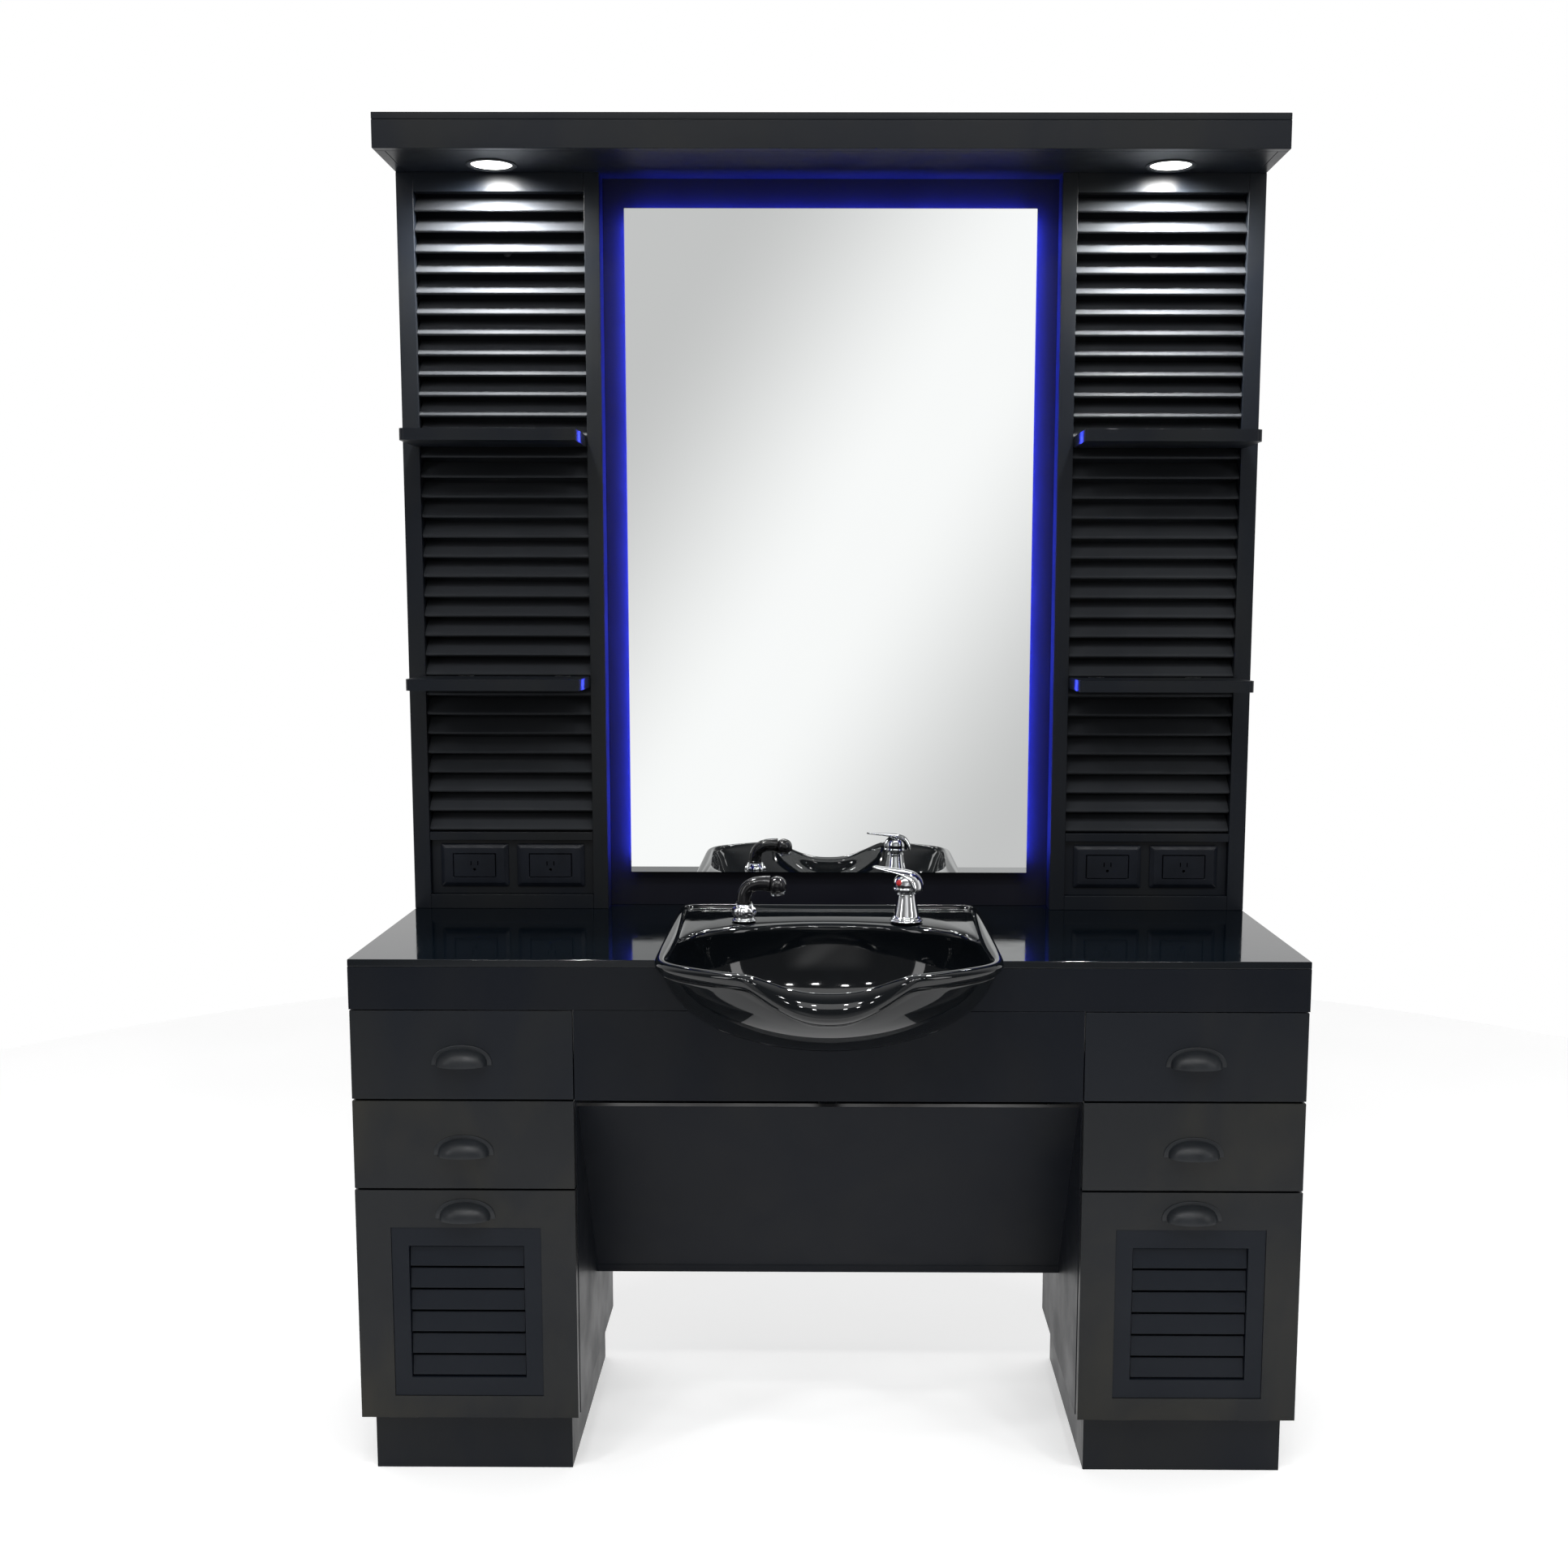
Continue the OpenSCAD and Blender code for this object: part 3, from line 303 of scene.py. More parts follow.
def cad_copy(node):
    """The CAD node's mesh as clean faces: corners welded and flat faces joined."""
    bm = bmesh.new()
    bm.from_mesh(frame["nodes"][node].data)
    bmesh.ops.remove_doubles(bm, verts=bm.verts, dist=2e-6)
    bmesh.ops.dissolve_limit(bm, angle_limit=math.radians(0.6), verts=bm.verts, edges=bm.edges)
    return bm


def soften(node, mat, width=0.8, segments=2, suffix="_finished", angle=28):
    """The CAD node with its edges eased, as every made piece has them."""
    obj = add_object(node + suffix, cad_copy(node))
    bevelled(obj, width, segments, angle)
    smooth(obj)
    return own(obj, node, mat)


def islands(node):
    """(lowest corner, highest corner) of each separate solid of a CAD node."""
    bm = cad_copy(node)
    left, out = set(bm.verts), []
    while left:
        stack, seen = [left.pop()], []
        while stack:
            v = stack.pop()
            seen.append(v.co.copy())
            for e in v.link_edges:
                w = e.other_vert(v)
                if w in left:
                    left.remove(w)
                    stack.append(w)
        lo = Vector(min(c[i] for c in seen) for i in range(3))
        hi = Vector(max(c[i] for c in seen) for i in range(3))
        out.append((lo, hi))
    bm.free()
    return sorted(out, key=lambda b: (round(b[0].x, 4), round(b[0].z, 4)))


def loft(bm, rings, cap=(True, True)):
    """Skins rings of points, all of one length, into bm."""
    rows = [[bm.verts.new(p) for p in ring] for ring in rings]
    n = len(rows[0])
    for a, b in zip(rows, rows[1:]):
        for i in range(n):
            j = (i + 1) % n
            bm.faces.new((a[i], a[j], b[j], b[i]))
    if cap[0]:
        bm.faces.new(rows[0])
    if cap[1]:
        bm.faces.new(reversed(rows[-1]))
    return rows


def join_ends(bm, rows):
    """Joins the last ring to the first, for a piece whose skin runs round through a hole."""
    n = len(rows[0])
    for i in range(n):
        j = (i + 1) % n
        bm.faces.new((rows[-1][i], rows[-1][j], rows[0][j], rows[0][i]))


def lathe(bm, profile, origin, axis=Vector((0, 0, 1)), steps=64, lobes=None, cap=(True, True)):
    """Turns (radius, height) pairs in millimetres round an axis; lobes(angle, height) scales the radius."""
    turn = Vector((0, 0, 1)).rotation_difference(axis).to_matrix()
    rings = []
    for r, h in profile:
        ring = []
        for i in range(steps):
            a = 2 * math.pi * i / steps
            k = lobes(a, h) if lobes else 1.0
            ring.append(origin + turn @ Vector((r * k * math.cos(a), r * k * math.sin(a), h)) * MM)
        rings.append(ring)
    return loft(bm, rings, cap=cap)


def curve_points(points, per_span):
    """A smooth curve through the given points."""
    pts = [Vector(p) for p in points]
    pts = [2 * pts[0] - pts[1]] + pts + [2 * pts[-1] - pts[-2]]
    out = []
    for i in range(1, len(pts) - 2):
        a, b, c, d = pts[i - 1:i + 3]
        for k in range(per_span):
            t = k / per_span
            out.append(0.5 * ((2 * b) + (c - a) * t + (2 * a - 5 * b + 4 * c - d) * t * t
                              + (3 * b - a - 3 * c + d) * t ** 3))
    out.append(pts[-2])
    return out


def sweep(bm, path, radii, steps=40, up=Vector((0, 1, 0))):
    """A tube of varying radius along a path in the plane square to up."""
    rings = []
    for i, p in enumerate(path):
        ahead = (path[min(i + 1, len(path) - 1)] - path[max(i - 1, 0)]).normalized()
        side = ahead.cross(up).normalized()
        ring = []
        for k in range(steps):
            a = 2 * math.pi * k / steps
            ring.append(p + (side * math.cos(a) + up * math.sin(a)) * radii[i])
        rings.append(ring)
    return loft(bm, rings)


def subdivided(obj, levels=1):
    m = obj.modifiers.new("subdivision", "SUBSURF")
    m.levels = m.render_levels = levels
    apply_modifiers(obj)


# ------------------------------------------------------------------ boards of the carcass

for side in ("left", "right"):
    soften(f"{side}_pedestal_carcass", INNER, 0.6)
    soften(f"{side}_tower_carcass", LACQUER["z"], 0.6)
soften("center_back_panel", BACK, 0.6)
for n in ("plinths", "crown_soffit"):
    soften(n, LACQUER["x"], 0.8)
for n in ("bowl_apron", "knee_space_panels"):
    soften(n, INNER, 0.8)
soften("counter_fascia", INNER, 1.2, 3)
soften("crown_fascia", LACQUER["x"], 1.2, 3)
soften("crown_top", LACQUER["x"], 1.5, 3)
soften("tower_face_frames", LACQUER["z"], 0.9, 3)
soften("mirror_backing", LACQUER["z"], 0.5)
soften("counter_top", GLOSS, 1.6, 4)
soften("shelves", LACQUER["x"], 1.6, 4)
for side in ("left", "right"):
    for row in ("upper", "lower"):
        soften(f"{side}_{row}_drawer_front", LACQUER["z"] if row == "upper" else FRONT_BOARD_PAINTED_REFLECTION, 1.2, 3)
        soften(f"{side}_{row}_drawer_box", PLYWOOD, 0.5)
    soften(f"{side}_hamper_front", FRONT_BOARD_PAINTED_REFLECTION, 0.9, 3)
    soften(f"{side}_hamper_bin", INNER, 0.4)
for n in ("drawer_runners", "hamper_hinges", "bowl_clamps", "shelf_rods", "led_driver"):
    soften(n, STEEL, 0.25)
soften("supply_tails", COPPER, 0.4)
for n in ("p_trap", "drain_flange", "strainer_basket"):
    soften(n, CHROME, 0.3)
soften("led_strip", BLUE, 0.3)


# Heights of the towers' wall holes, and the thickness of the board they go through
WALL_HOLES, TOWER_BACK = (1450, 2050), 9


def tower_screws():
    """Dark pan-head screws that close the wall holes in the towers' backs."""
    for side in ("left", "right"):
        node = f"{side}_tower_carcass"
        lo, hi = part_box(node)
        bm = bmesh.new()
        for z in WALL_HOLES:
            seat = Vector(((lo.x + hi.x) / 2, hi.y - TOWER_BACK * MM, z * MM))
            profile = [(3.7, -8.6), (3.7, 0.1), (7.5, 0.1), (7.3, 1.4), (5.6, 2.6), (2.6, 3.1), (0.2, 3.2)]
            lathe(bm, profile, seat, Vector((0, -1, 0)), 32)
        obj = add_object(f"{side}_tower_wall_screws", bm)
        smooth(obj, 40, False)
        own(obj, node, BLACK_METAL, False)


tower_screws()

# ------------------------------------------------------------------ louvres


def tower_louvers():
    slats = islands("tower_louvers")
    bm = bmesh.new()
    tilt, width, thick = math.radians(50), 43.5, 6.3
    along = Vector((0, math.sin(tilt), math.cos(tilt)))
    across = Vector((0, math.cos(tilt), -math.sin(tilt)))
    section = []
    for k in range(28):
        a = 2 * math.pi * k / 28
        c, s = math.cos(a), math.sin(a)
        u = math.copysign(abs(c) ** 0.22, c) * width / 2
        v = math.copysign(abs(s) ** 0.55, s) * thick / 2
        section.append((u, v))
    for lo, hi in slats:
        mid = (lo + hi) / 2
        rings = []
        for x in (lo.x, lo.x + 0.0004, hi.x - 0.0004, hi.x):
            shrink = 0.97 if x in (lo.x, hi.x) else 1.0
            rings.append([Vector((x, mid.y, mid.z)) + (along * u + across * v) * MM * shrink
                          for u, v in section])
        loft(bm, rings)
    obj = add_object("tower_louvers_rounded", bm)
    smooth(obj, 50)
    return own(obj, "tower_louvers", SLAT)


tower_louvers()


def shelf_seals():
    """Dark strips that close the slit between each shelf and the slats behind it."""
    slats = islands("tower_louvers")
    front = min(lo.y for lo, hi in slats)
    bm = bmesh.new()
    for lo, hi in islands("shelves"):
        near = [p for p in slats if p[0].x * lo.x > 0]
        x0, x1 = min(p[0].x for p in near), max(p[1].x for p in near)
        y0, y1 = hi.y - 0.0005, front + 0.006
        rings = [[Vector((x, y, z)) for y, z in ((y0, lo.z + 0.002), (y1, lo.z + 0.002), (y1, hi.z - 0.002),
                                                 (y0, hi.z - 0.002))] for x in (x0, x1)]
        loft(bm, rings)
    obj = add_object("shelf_back_seals", bm)
    smooth(obj, 30)
    own(obj, "shelves", INNER, False)


shelf_seals()

# ------------------------------------------------------------------ hamper vents


def square_ring(lo, hi, inset, y):
    return [Vector((x, y, z)) for x, z in ((lo.x + inset, lo.z + inset), (hi.x - inset, lo.z + inset),
                                           (hi.x - inset, hi.z - inset), (lo.x + inset, hi.z - inset))]


def hamper_vent(node):
    """A one-piece frame round slats whose lower edges stand forward over the gap below."""
    pieces = islands(node)
    low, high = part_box(node)
    slats = [p for p in pieces if p[0].z > low.z + 0.01 and p[1].z < high.z - 0.01]
    rail = 31.5 * MM
    open_lo = Vector((min(p[0].x for p in slats), low.y, low.z + rail))
    open_hi = Vector((max(p[1].x for p in slats), high.y, high.z - rail))
    bm = bmesh.new()
    rings = [square_ring(low, high, 0, high.y), square_ring(low, high, 0, low.y + 0.0008),
             square_ring(low, high, 0.0003, low.y + 0.0002), square_ring(low, high, 0.0009, low.y),
             square_ring(open_lo, open_hi, -0.0012, low.y),
             square_ring(open_lo, open_hi, -0.0004, low.y + 0.0003),
             square_ring(open_lo, open_hi, 0, low.y + 0.0012), square_ring(open_lo, open_hi, 0, high.y)]
    join_ends(bm, loft(bm, rings, cap=(False, False)))
    tilt, tall, thick, nose = math.radians(7.5), 33.0, 4.4, 1.5
    along = Vector((0, math.sin(tilt), math.cos(tilt)))
    across = Vector((0, math.cos(tilt), -math.sin(tilt)))
    section = []
    for su, sv, start in ((1, 1, 0), (-1, 1, 90), (-1, -1, 180), (1, -1, 270)):
        for k in range(5):
            a = math.radians(start + 22.5 * k)
            section.append((su * (tall / 2 - nose) + nose * math.cos(a),
                            sv * (thick / 2 - nose) + nose * math.sin(a)))
    for lo, hi in slats:
        mid = (lo + hi) / 2
        loft(bm, [[Vector((x, mid.y - 0.001, mid.z)) + (along * u + across * v) * MM for u, v in section]
                  for x in (lo.x + 0.0011, hi.x - 0.0011)])
    obj = add_object(node + "_joined", bm)
    smooth(obj, 40)
    return own(obj, node, VENT)


hamper_vent("left_hamper_vent")
hamper_vent("right_hamper_vent")

# ------------------------------------------------------------------ cup pulls


def cup_pull(node):
    lo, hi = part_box(node)
    mid_x, base = (lo.x + hi.x) / 2, lo.z
    plane = hi.y
    half, reach, wall = 41.0, (plane - lo.y) / MM, 2.2
    flange_half, opening_half, steps = 48, 39, 48
    bm = bmesh.new()

    def shell(length, radius, bead):
        rows = []
        for i in range(33):
            u = math.radians(-90 + 180 * i / 32)
            r = radius * max(math.cos(u), 0.0) ** 0.75
            row = []
            for k in range(15):
                v = math.radians(90 * k / 14)
                swell = 1 + bead * max(0, (k - 11) / 3) ** 2
                row.append(Vector((mid_x + length * math.sin(u) * MM, plane - r * swell * math.sin(v) * MM,
                                   base + r * math.cos(v) * MM)))
            rows.append(row)
        return rows

    outer, inner = shell(half, reach, 0.0), shell(half - wall, reach - wall, 0.0)
    rings = [a + b[::-1] for a, b in zip(outer[1:-1], inner[1:-1])]
    loft(bm, rings)
    top = hi.z
    flange = []
    for y, grow in ((plane, 0.0), (plane - 0.0014, 0.0), (plane - 0.002, -0.9)):
        ring = []
        for i in range(steps + 1):
            u = math.pi * i / steps
            ring.append(Vector((mid_x + (flange_half + grow) * math.cos(u) * MM, y,
                                base + ((top - base) / MM + grow) * math.sin(u) ** 0.8 * MM)))
        for i in range(steps + 1):
            u = math.pi * (1 - i / steps)
            ring.append(Vector((mid_x + opening_half * math.cos(u) * MM, y,
                                base + (reach - 1.5) * math.sin(u) ** 0.8 * MM)))
        flange.append(ring)
    rows = loft(bm, flange, cap=(False, False))
    for row in (rows[0], rows[-1]):
        for i in range(steps):
            bm.faces.new((row[i], row[i + 1], row[2 * steps - i], row[2 * steps + 1 - i]))
    obj = add_object(node + "_cast", bm)
    smooth(obj, 42, False)
    return own(obj, node, BLACK_METAL)


for side in ("left", "right"):
    for name in ("upper_drawer", "lower_drawer", "hamper"):
        cup_pull(f"{side}_{name}_pull")

# ------------------------------------------------------------------ bowl

BOWL = {
    "half_w": 267.0, "out": 250.0, "back": 383.0, "cy": 75.0, "drain_back": 70.0, "rim": 26.0,
    "basin_back": 167.0, "arc": 365.0, "lip_in": 26.6, "lip_widen": 0.6, "dip": 57.0, "notch": 127.0,
    "shell_d": 158.4, "basin_d": 156.0, "power": 2.4, "sink": 0.5, "pull": 42.0, "corner": 30.0,
    "wall": 14.0, "floor_r": 34.0,
}
RIM_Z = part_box("shampoo_bowl")[1].z / MM
SHELL_Z = RIM_Z - 24.6
DECK = RIM_Z - 8
BASIN_Z = RIM_Z - 16


def soft_min(*values):
    low, k = min(values), BOWL["corner"]
    return low * sum((v / low) ** -k for v in values) ** (-1 / k)


def rim_reach(t):
    b, c, s = BOWL, max(abs(math.cos(t)), 0.001), math.sin(t)
    far = 5000.0
    dy = b["arc"] - b["out"] - b["cy"]
    front = dy * s + math.sqrt((dy * s) ** 2 + b["arc"] ** 2 - dy ** 2) if s < 0 else far
    return soft_min(b["half_w"] / c, (b["back"] - b["cy"]) / s if s > 0.001 else far, front)


def oval(t, wide, deep):
    return 1 / math.sqrt((math.cos(t) / wide) ** 2 + (math.sin(t) / deep) ** 2)


def basin_reach(t, level=0.0):
    b = BOWL
    wide, w = b["half_w"] - b["rim"], max(level, 0.0) ** 0.8
    if math.sin(t) > 0:
        return oval(t, wide, b["basin_back"] - b["drain_back"] * level)
    return (1 - w) * (rim_reach(t) - b["rim"]) + w * oval(t, wide, b["out"] + b["cy"] - b["rim"])


def dip(t):
    u = abs(rim_reach(t) * math.cos(t)) / BOWL["notch"]
    return (1 - u ** 2.5) ** 1.3 if math.sin(t) < 0 and u < 1 else 0.0


def narrowing(level):
    return math.sqrt(max(0.0004, 1 - level ** BOWL["power"]))


def bowl_at(t, reach, level, z):
    return at(reach * math.cos(t), BOWL["cy"] + BOWL["drain_back"] * level + reach * math.sin(t), z)


def shampoo_bowl():
    b = BOWL
    steps = 180
    angles = [2 * math.pi * i / steps for i in range(steps)]
    drain = at(0, b["cy"] + b["drain_back"], 0)
    floor = BASIN_Z - b["basin_d"] * 0.985
    rings = []

    def circle(r, z):
        return [drain + Vector((r * math.cos(t), r * math.sin(t), z)) * MM for t in angles]

    def shell(t, step):
        top = b["dip"] * dip(t) / b["shell_d"]
        level = top + (1 - top) * step
        reach = max(b["floor_r"] + 4, (basin_reach(t, level) + b["wall"]) * narrowing(level))
        return bowl_at(t, reach, level, SHELL_Z - b["shell_d"] * level)

    def rim(t, inset, z, sink):
        d = dip(t)
        return bowl_at(t, rim_reach(t) - inset - (b["lip_in"] + b["lip_widen"] * inset) * d, 0,
                       RIM_Z + z - b["dip"] * d * sink)

    def basin(t, level, lift=0.0, out=0.0):
        drop = b["dip"] * dip(t) * b["sink"]
        depth = drop + (b["basin_d"] - drop) * level
        edge = basin_reach(t, level) - b["pull"] * dip(t) * (1 - level)
        return bowl_at(t, max(b["floor_r"], edge * narrowing(level)) + out, level, BASIN_Z - depth + lift)

    rings.append(circle(23.5, SHELL_Z - b["shell_d"] * 0.995))
    for i in range(26):
        rings.append([shell(t, 0.995 * (1 - (i / 25) ** 1.5)) for t in angles])
    section = curve_points([(14, -24.4, 1), (8, -20.5, 1), (3, -15, 1), (0.4, -9.5, 1), (0.8, -5, 0.95),
                            (4.5, -1.5, 0.82), (11, 0, 0.66), (17, -1.2, 0.55), (23, -8, 0.5)], 4)
    for p in section:
        rings.append([rim(t, p[0], p[1], p[2]) for t in angles])
    rings.append([basin(t, 0, DECK - BASIN_Z, 4) for t in angles])
    for i in range(32):
        rings.append([basin(t, 0.985 * (i / 31) ** 0.8) for t in angles])
    rings.append(circle(30, floor))
    rings.append(circle(23.2, floor - 0.2))
    rings.append(circle(22.7, floor - 2))
    bm = bmesh.new()
    join_ends(bm, loft(bm, rings, cap=(False, False)))
    obj = add_object("shampoo_bowl_glazed", bm)
    subdivided(obj)
    # Subdivision must not carry the rim out of the CAD bowl's box
    lo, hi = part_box("shampoo_bowl")
    for v in obj.data.vertices:
        v.co = [min(max(v.co[i], lo[i] + 0.0001), hi[i]) for i in range(3)]
    smooth(obj, 60, False)
    return own(obj, "shampoo_bowl", GLAZE)


shampoo_bowl()

# ------------------------------------------------------------------ mixer


def centre(node):
    lo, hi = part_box(node)
    return (lo + hi) / 2


BALL_HEIGHT = 79
BALL = Vector((centre("faucet_body").x, centre("faucet_body").y, TOP + BALL_HEIGHT * MM))
LEVER_TURN = math.radians(-21)


def faucet():
    base = Vector((BALL.x, BALL.y, 0))
    z = DECK
    bm = bmesh.new()
    profile = [(0.4, z + 0.4), (26.5, z + 0.4), (28.3, z + 1.4), (28.2, z + 3.2), (26.4, z + 4.4),
               (25.2, z + 5.2), (25.6, z + 6.6), (24.6, z + 8), (22.4, z + 9.6), (21.9, z + 12),
               (21.0, z + 17), (19.6, z + 24), (18.2, z + 30), (17.1, z + 36), (16.3, z + 42),
               (15.8, z + 46), (16.0, z + 48.4), (15.2, z + 49.8), (0.4, z + 50)]
    lathe(bm, profile, base, steps=72)
    obj = add_object("faucet_body_turned", bm)
    subdivided(obj)
    smooth(obj, 60, False)
    own(obj, "faucet_body", CHROME)
    bm = bmesh.new()
    lathe(bm, [(0.3, z + 50.4), (14, z + 50.4), (14.4, z + 51), (14.4, z + 54), (15.5, z + 56), (18, z + 59),
               (18.8, z + 62), (18.8, z + 67), (16, z + 74), (0.3, z + 76)], base, steps=64)
    obj = add_object("faucet_cartridge_ball", bm)
    subdivided(obj)
    smooth(obj, 60, False)
    own(obj, "faucet_cartridge", CHROME)


def faucet_lever():
    """A ringed dome with a broad hood that runs from the tip over the dome and down behind it."""
    turn = Matrix.Rotation(LEVER_TURN, 3, "Z")
    bm = bmesh.new()
    ctrl = [(-60, 29.4, 5, 1.3), (-57, 29.8, 8.5, 1.8), (-46, 28.8, 10.5, 2.2), (-30, 27.2, 13, 2.8),
            (-14, 25.6, 15.5, 3.4), (2, 23.6, 18.5, 4.0), (13, 19.6, 20.5, 4.4), (21, 12.6, 21.5, 4.2),
            (25.4, 4.2, 21.5, 3.6), (27.0, -3.0, 20.5, 2.8), (27.2, -6.6, 18.5, 1.6)]
    path = curve_points([(c[0], 0, c[1]) for c in ctrl], 6)
    size = curve_points([(c[2], c[3], 0) for c in ctrl], 6)
    rings = []
    for i, p in enumerate(path):
        ahead = (path[min(i + 1, len(path) - 1)] - path[max(i - 1, 0)]).normalized()
        lift = Vector((0, 1, 0)).cross(ahead) * -1
        # The hood's sides droop round the dome
        ring = []
        for k in range(40):
            a = 2 * math.pi * k / 40
            c, q = math.cos(a), math.sin(a)
            u = math.copysign(abs(c) ** 0.7, c) * size[i].x
            v = math.copysign(abs(q) ** 0.8, q) * size[i].y - (u / 21.5) ** 2 * size[i].x * 0.32
            ring.append(BALL + turn @ (p + Vector((0, 1, 0)) * u + lift * v) * MM)
        rings.append(ring)
    loft(bm, rings)
    cap = [(19.2, -7), (21.6, -7), (22.6, -6.2), (22.7, -3.6), (21.9, -2.6), (21.6, -1.8), (22.4, 1),
           (22.2, 6), (21.0, 11), (18.4, 15.6), (14, 19.4), (8, 22), (0.3, 22.8)]
    lathe(bm, cap, BALL, steps=72, cap=(False, True))
    obj = add_object("faucet_lever_cast", bm)
    smooth(obj, 50, False)
    own(obj, "faucet_lever", CHROME)
    bm = bmesh.new()
    out = Vector((-0.60, -0.70, 0.38)).normalized()
    lathe(bm, [(6.3, 20.4), (6.3, 21.9), (5.6, 22.9), (4.0, 23.5), (0.2, 23.7)], BALL, out, 32)
    dot = add_object("faucet_lever_dot", bm)
    smooth(dot, 40, False)
    own(dot, "faucet_lever", RED, False)


faucet()
faucet_lever()

# ------------------------------------------------------------------ hand spray


def spray():
    foot = Vector((centre("spray_socket").x, centre("spray_socket").y, 0))
    z = DECK
    bm = bmesh.new()

    def lobes(a, h):
        return 1 + (0.045 * math.cos(8 * a) if z + 9 < h < z + 25 else 0)

    profile = [(13, z + 0.4), (20.4, z + 0.4), (21, z + 1.5), (20.6, z + 3), (17.6, z + 4.6),
               (17.2, z + 7), (18.4, z + 9.6), (20.2, z + 12), (20.5, z + 17), (19.8, z + 22),
               (17.6, z + 25), (16.2, z + 26.6), (16, z + 28.6), (14.8, z + 29.8), (13.4, z + 30),
               (12.6, z + 29), (12.6, z + 6)]
    lathe(bm, profile, foot, steps=96, lobes=lobes)
    obj = add_object("spray_socket_turned", bm)
    subdivided(obj)
    smooth(obj, 60, False)
    own(obj, "spray_socket", CHROME)
    lo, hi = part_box("spray_ferrule")
    bm = bmesh.new()
    top = hi.z / MM
    lathe(bm, [(0.3, lo.z / MM), (11.2, lo.z / MM), (11.9, lo.z / MM + 1), (11.9, top - 3.2), (12.9, top - 3),
               (13.4, top - 2.2), (13.4, top - 0.8), (12.6, top), (0.3, top)], foot, steps=64)
    obj = add_object("spray_ferrule_moulded", bm)
    smooth(obj, 40, False)
    own(obj, "spray_ferrule", GRIP)
    start = foot + Vector((0, 0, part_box("spray_handle")[0].z))
    path = curve_points([start + Vector((px, 0, pz)) * MM for px, pz in (
        (0, 0), (0.2, 6), (1.6, 14), (6, 22), (13, 27.6), (22, 30.6), (33, 31.4), (44, 30.4))], 6)
    width = curve_points([(w, 0, 0) for w in (12.6, 12.3, 12, 12, 12, 12.1, 12.7, 14.0)], 6)
    bm = bmesh.new()
    sweep(bm, path, [w.x * MM for w in width], 48)
    # The round head on the grip's end, with its face turned down and slightly outwards
    head = start + Vector((57, 0, 27.5)) * MM
    down = Vector((math.sin(math.radians(8)), 0, -math.cos(math.radians(8))))
    lathe(bm, [(12.8, 11), (14.6, 9.6), (15.9, 6), (16.5, 0), (16.1, -4), (14.6, -8), (12, -11.4), (8, -14.2),
               (3.5, -15.9), (0.3, -16.2)], head, down, 64)
    obj = add_object("spray_handle_moulded", bm)
    smooth(obj, 60, False)
    own(obj, "spray_handle", GRIP)
    bm = bmesh.new()
    lathe(bm, [(10.5, 11.3), (12.0, 11.3), (12.6, 12), (12.6, 15.6), (12, 16.6), (10.6, 16.8),
               (10.2, 16), (3, 15.6), (0.3, 15.6)], head, down, 64)
    obj = add_object("spray_nozzle_ring", bm)
    smooth(obj, 35, False)
    own(obj, "spray_nozzle", CHROME)


spray()

# ------------------------------------------------------------------ outlets


def rounded_ring(mid, half_x, half_z, radius, y, steps=6):
    ring = []
    for cx, cz, start in ((1, 1, 0), (-1, 1, 90), (-1, -1, 180), (1, -1, 270)):
        for k in range(steps + 1):
            a = math.radians(start + 90 * k / steps)
            ring.append(Vector((mid.x + (cx * (half_x - radius) + radius * math.cos(a)) * MM, y,
                                mid.z + (cz * (half_z - radius) + radius * math.sin(a)) * MM)))
    return ring


def outlets():
    bm = bmesh.new()
    for lo, hi in islands("outlet_plates"):
        mid = (lo + hi) / 2
        hx, hz = (hi.x - lo.x) / 2 / MM, (hi.z - lo.z) / 2 / MM
        rings = [rounded_ring(mid, hx, hz, 3.5, hi.y), rounded_ring(mid, hx, hz, 3.5, hi.y - 0.0018),
                 rounded_ring(mid, hx - 0.8, hz - 0.8, 3.2, hi.y - 0.0028),
                 rounded_ring(mid, hx - 7, hz - 7, 2.5, lo.y + 0.0006),
                 rounded_ring(mid, hx - 8, hz - 8, 2.2, lo.y), rounded_ring(mid, 40.2, 22.8, 1.6, lo.y),
                 rounded_ring(mid, 39.2, 21.8, 1.2, lo.y + 0.0009), rounded_ring(mid, 38.9, 21.5, 1.2, hi.y)]
        join_ends(bm, loft(bm, rings, cap=(False, False)))
    obj = add_object("outlet_plates_moulded", bm)
    smooth(obj, 30)
    own(obj, "outlet_plates", BLACK_PLASTIC)


outlets()
soften("receptacles", BLACK_PLASTIC, 0.5, 2)

# ------------------------------------------------------------------ mirror and lamps


def mirror_glass():
    lo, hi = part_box("mirror_glass")
    mid = (lo + hi) / 2
    hx, hz = (hi.x - lo.x) / 2 / MM, (hi.z - lo.z) / 2 / MM
    bm = bmesh.new()
    loft(bm, [rounded_ring(mid, hx, hz, 1.0, hi.y, 2), rounded_ring(mid, hx, hz, 1.0, lo.y + 0.0006, 2),
              rounded_ring(mid, hx - 0.5, hz - 0.5, 1.0, lo.y + 0.0001, 2),
              rounded_ring(mid, hx - 0.9, hz - 0.9, 0.8, lo.y, 2)])
    obj = add_object("mirror_glass_bevelled", bm)
    obj.data.shade_flat()
    own(obj, "mirror_glass", SILVER)


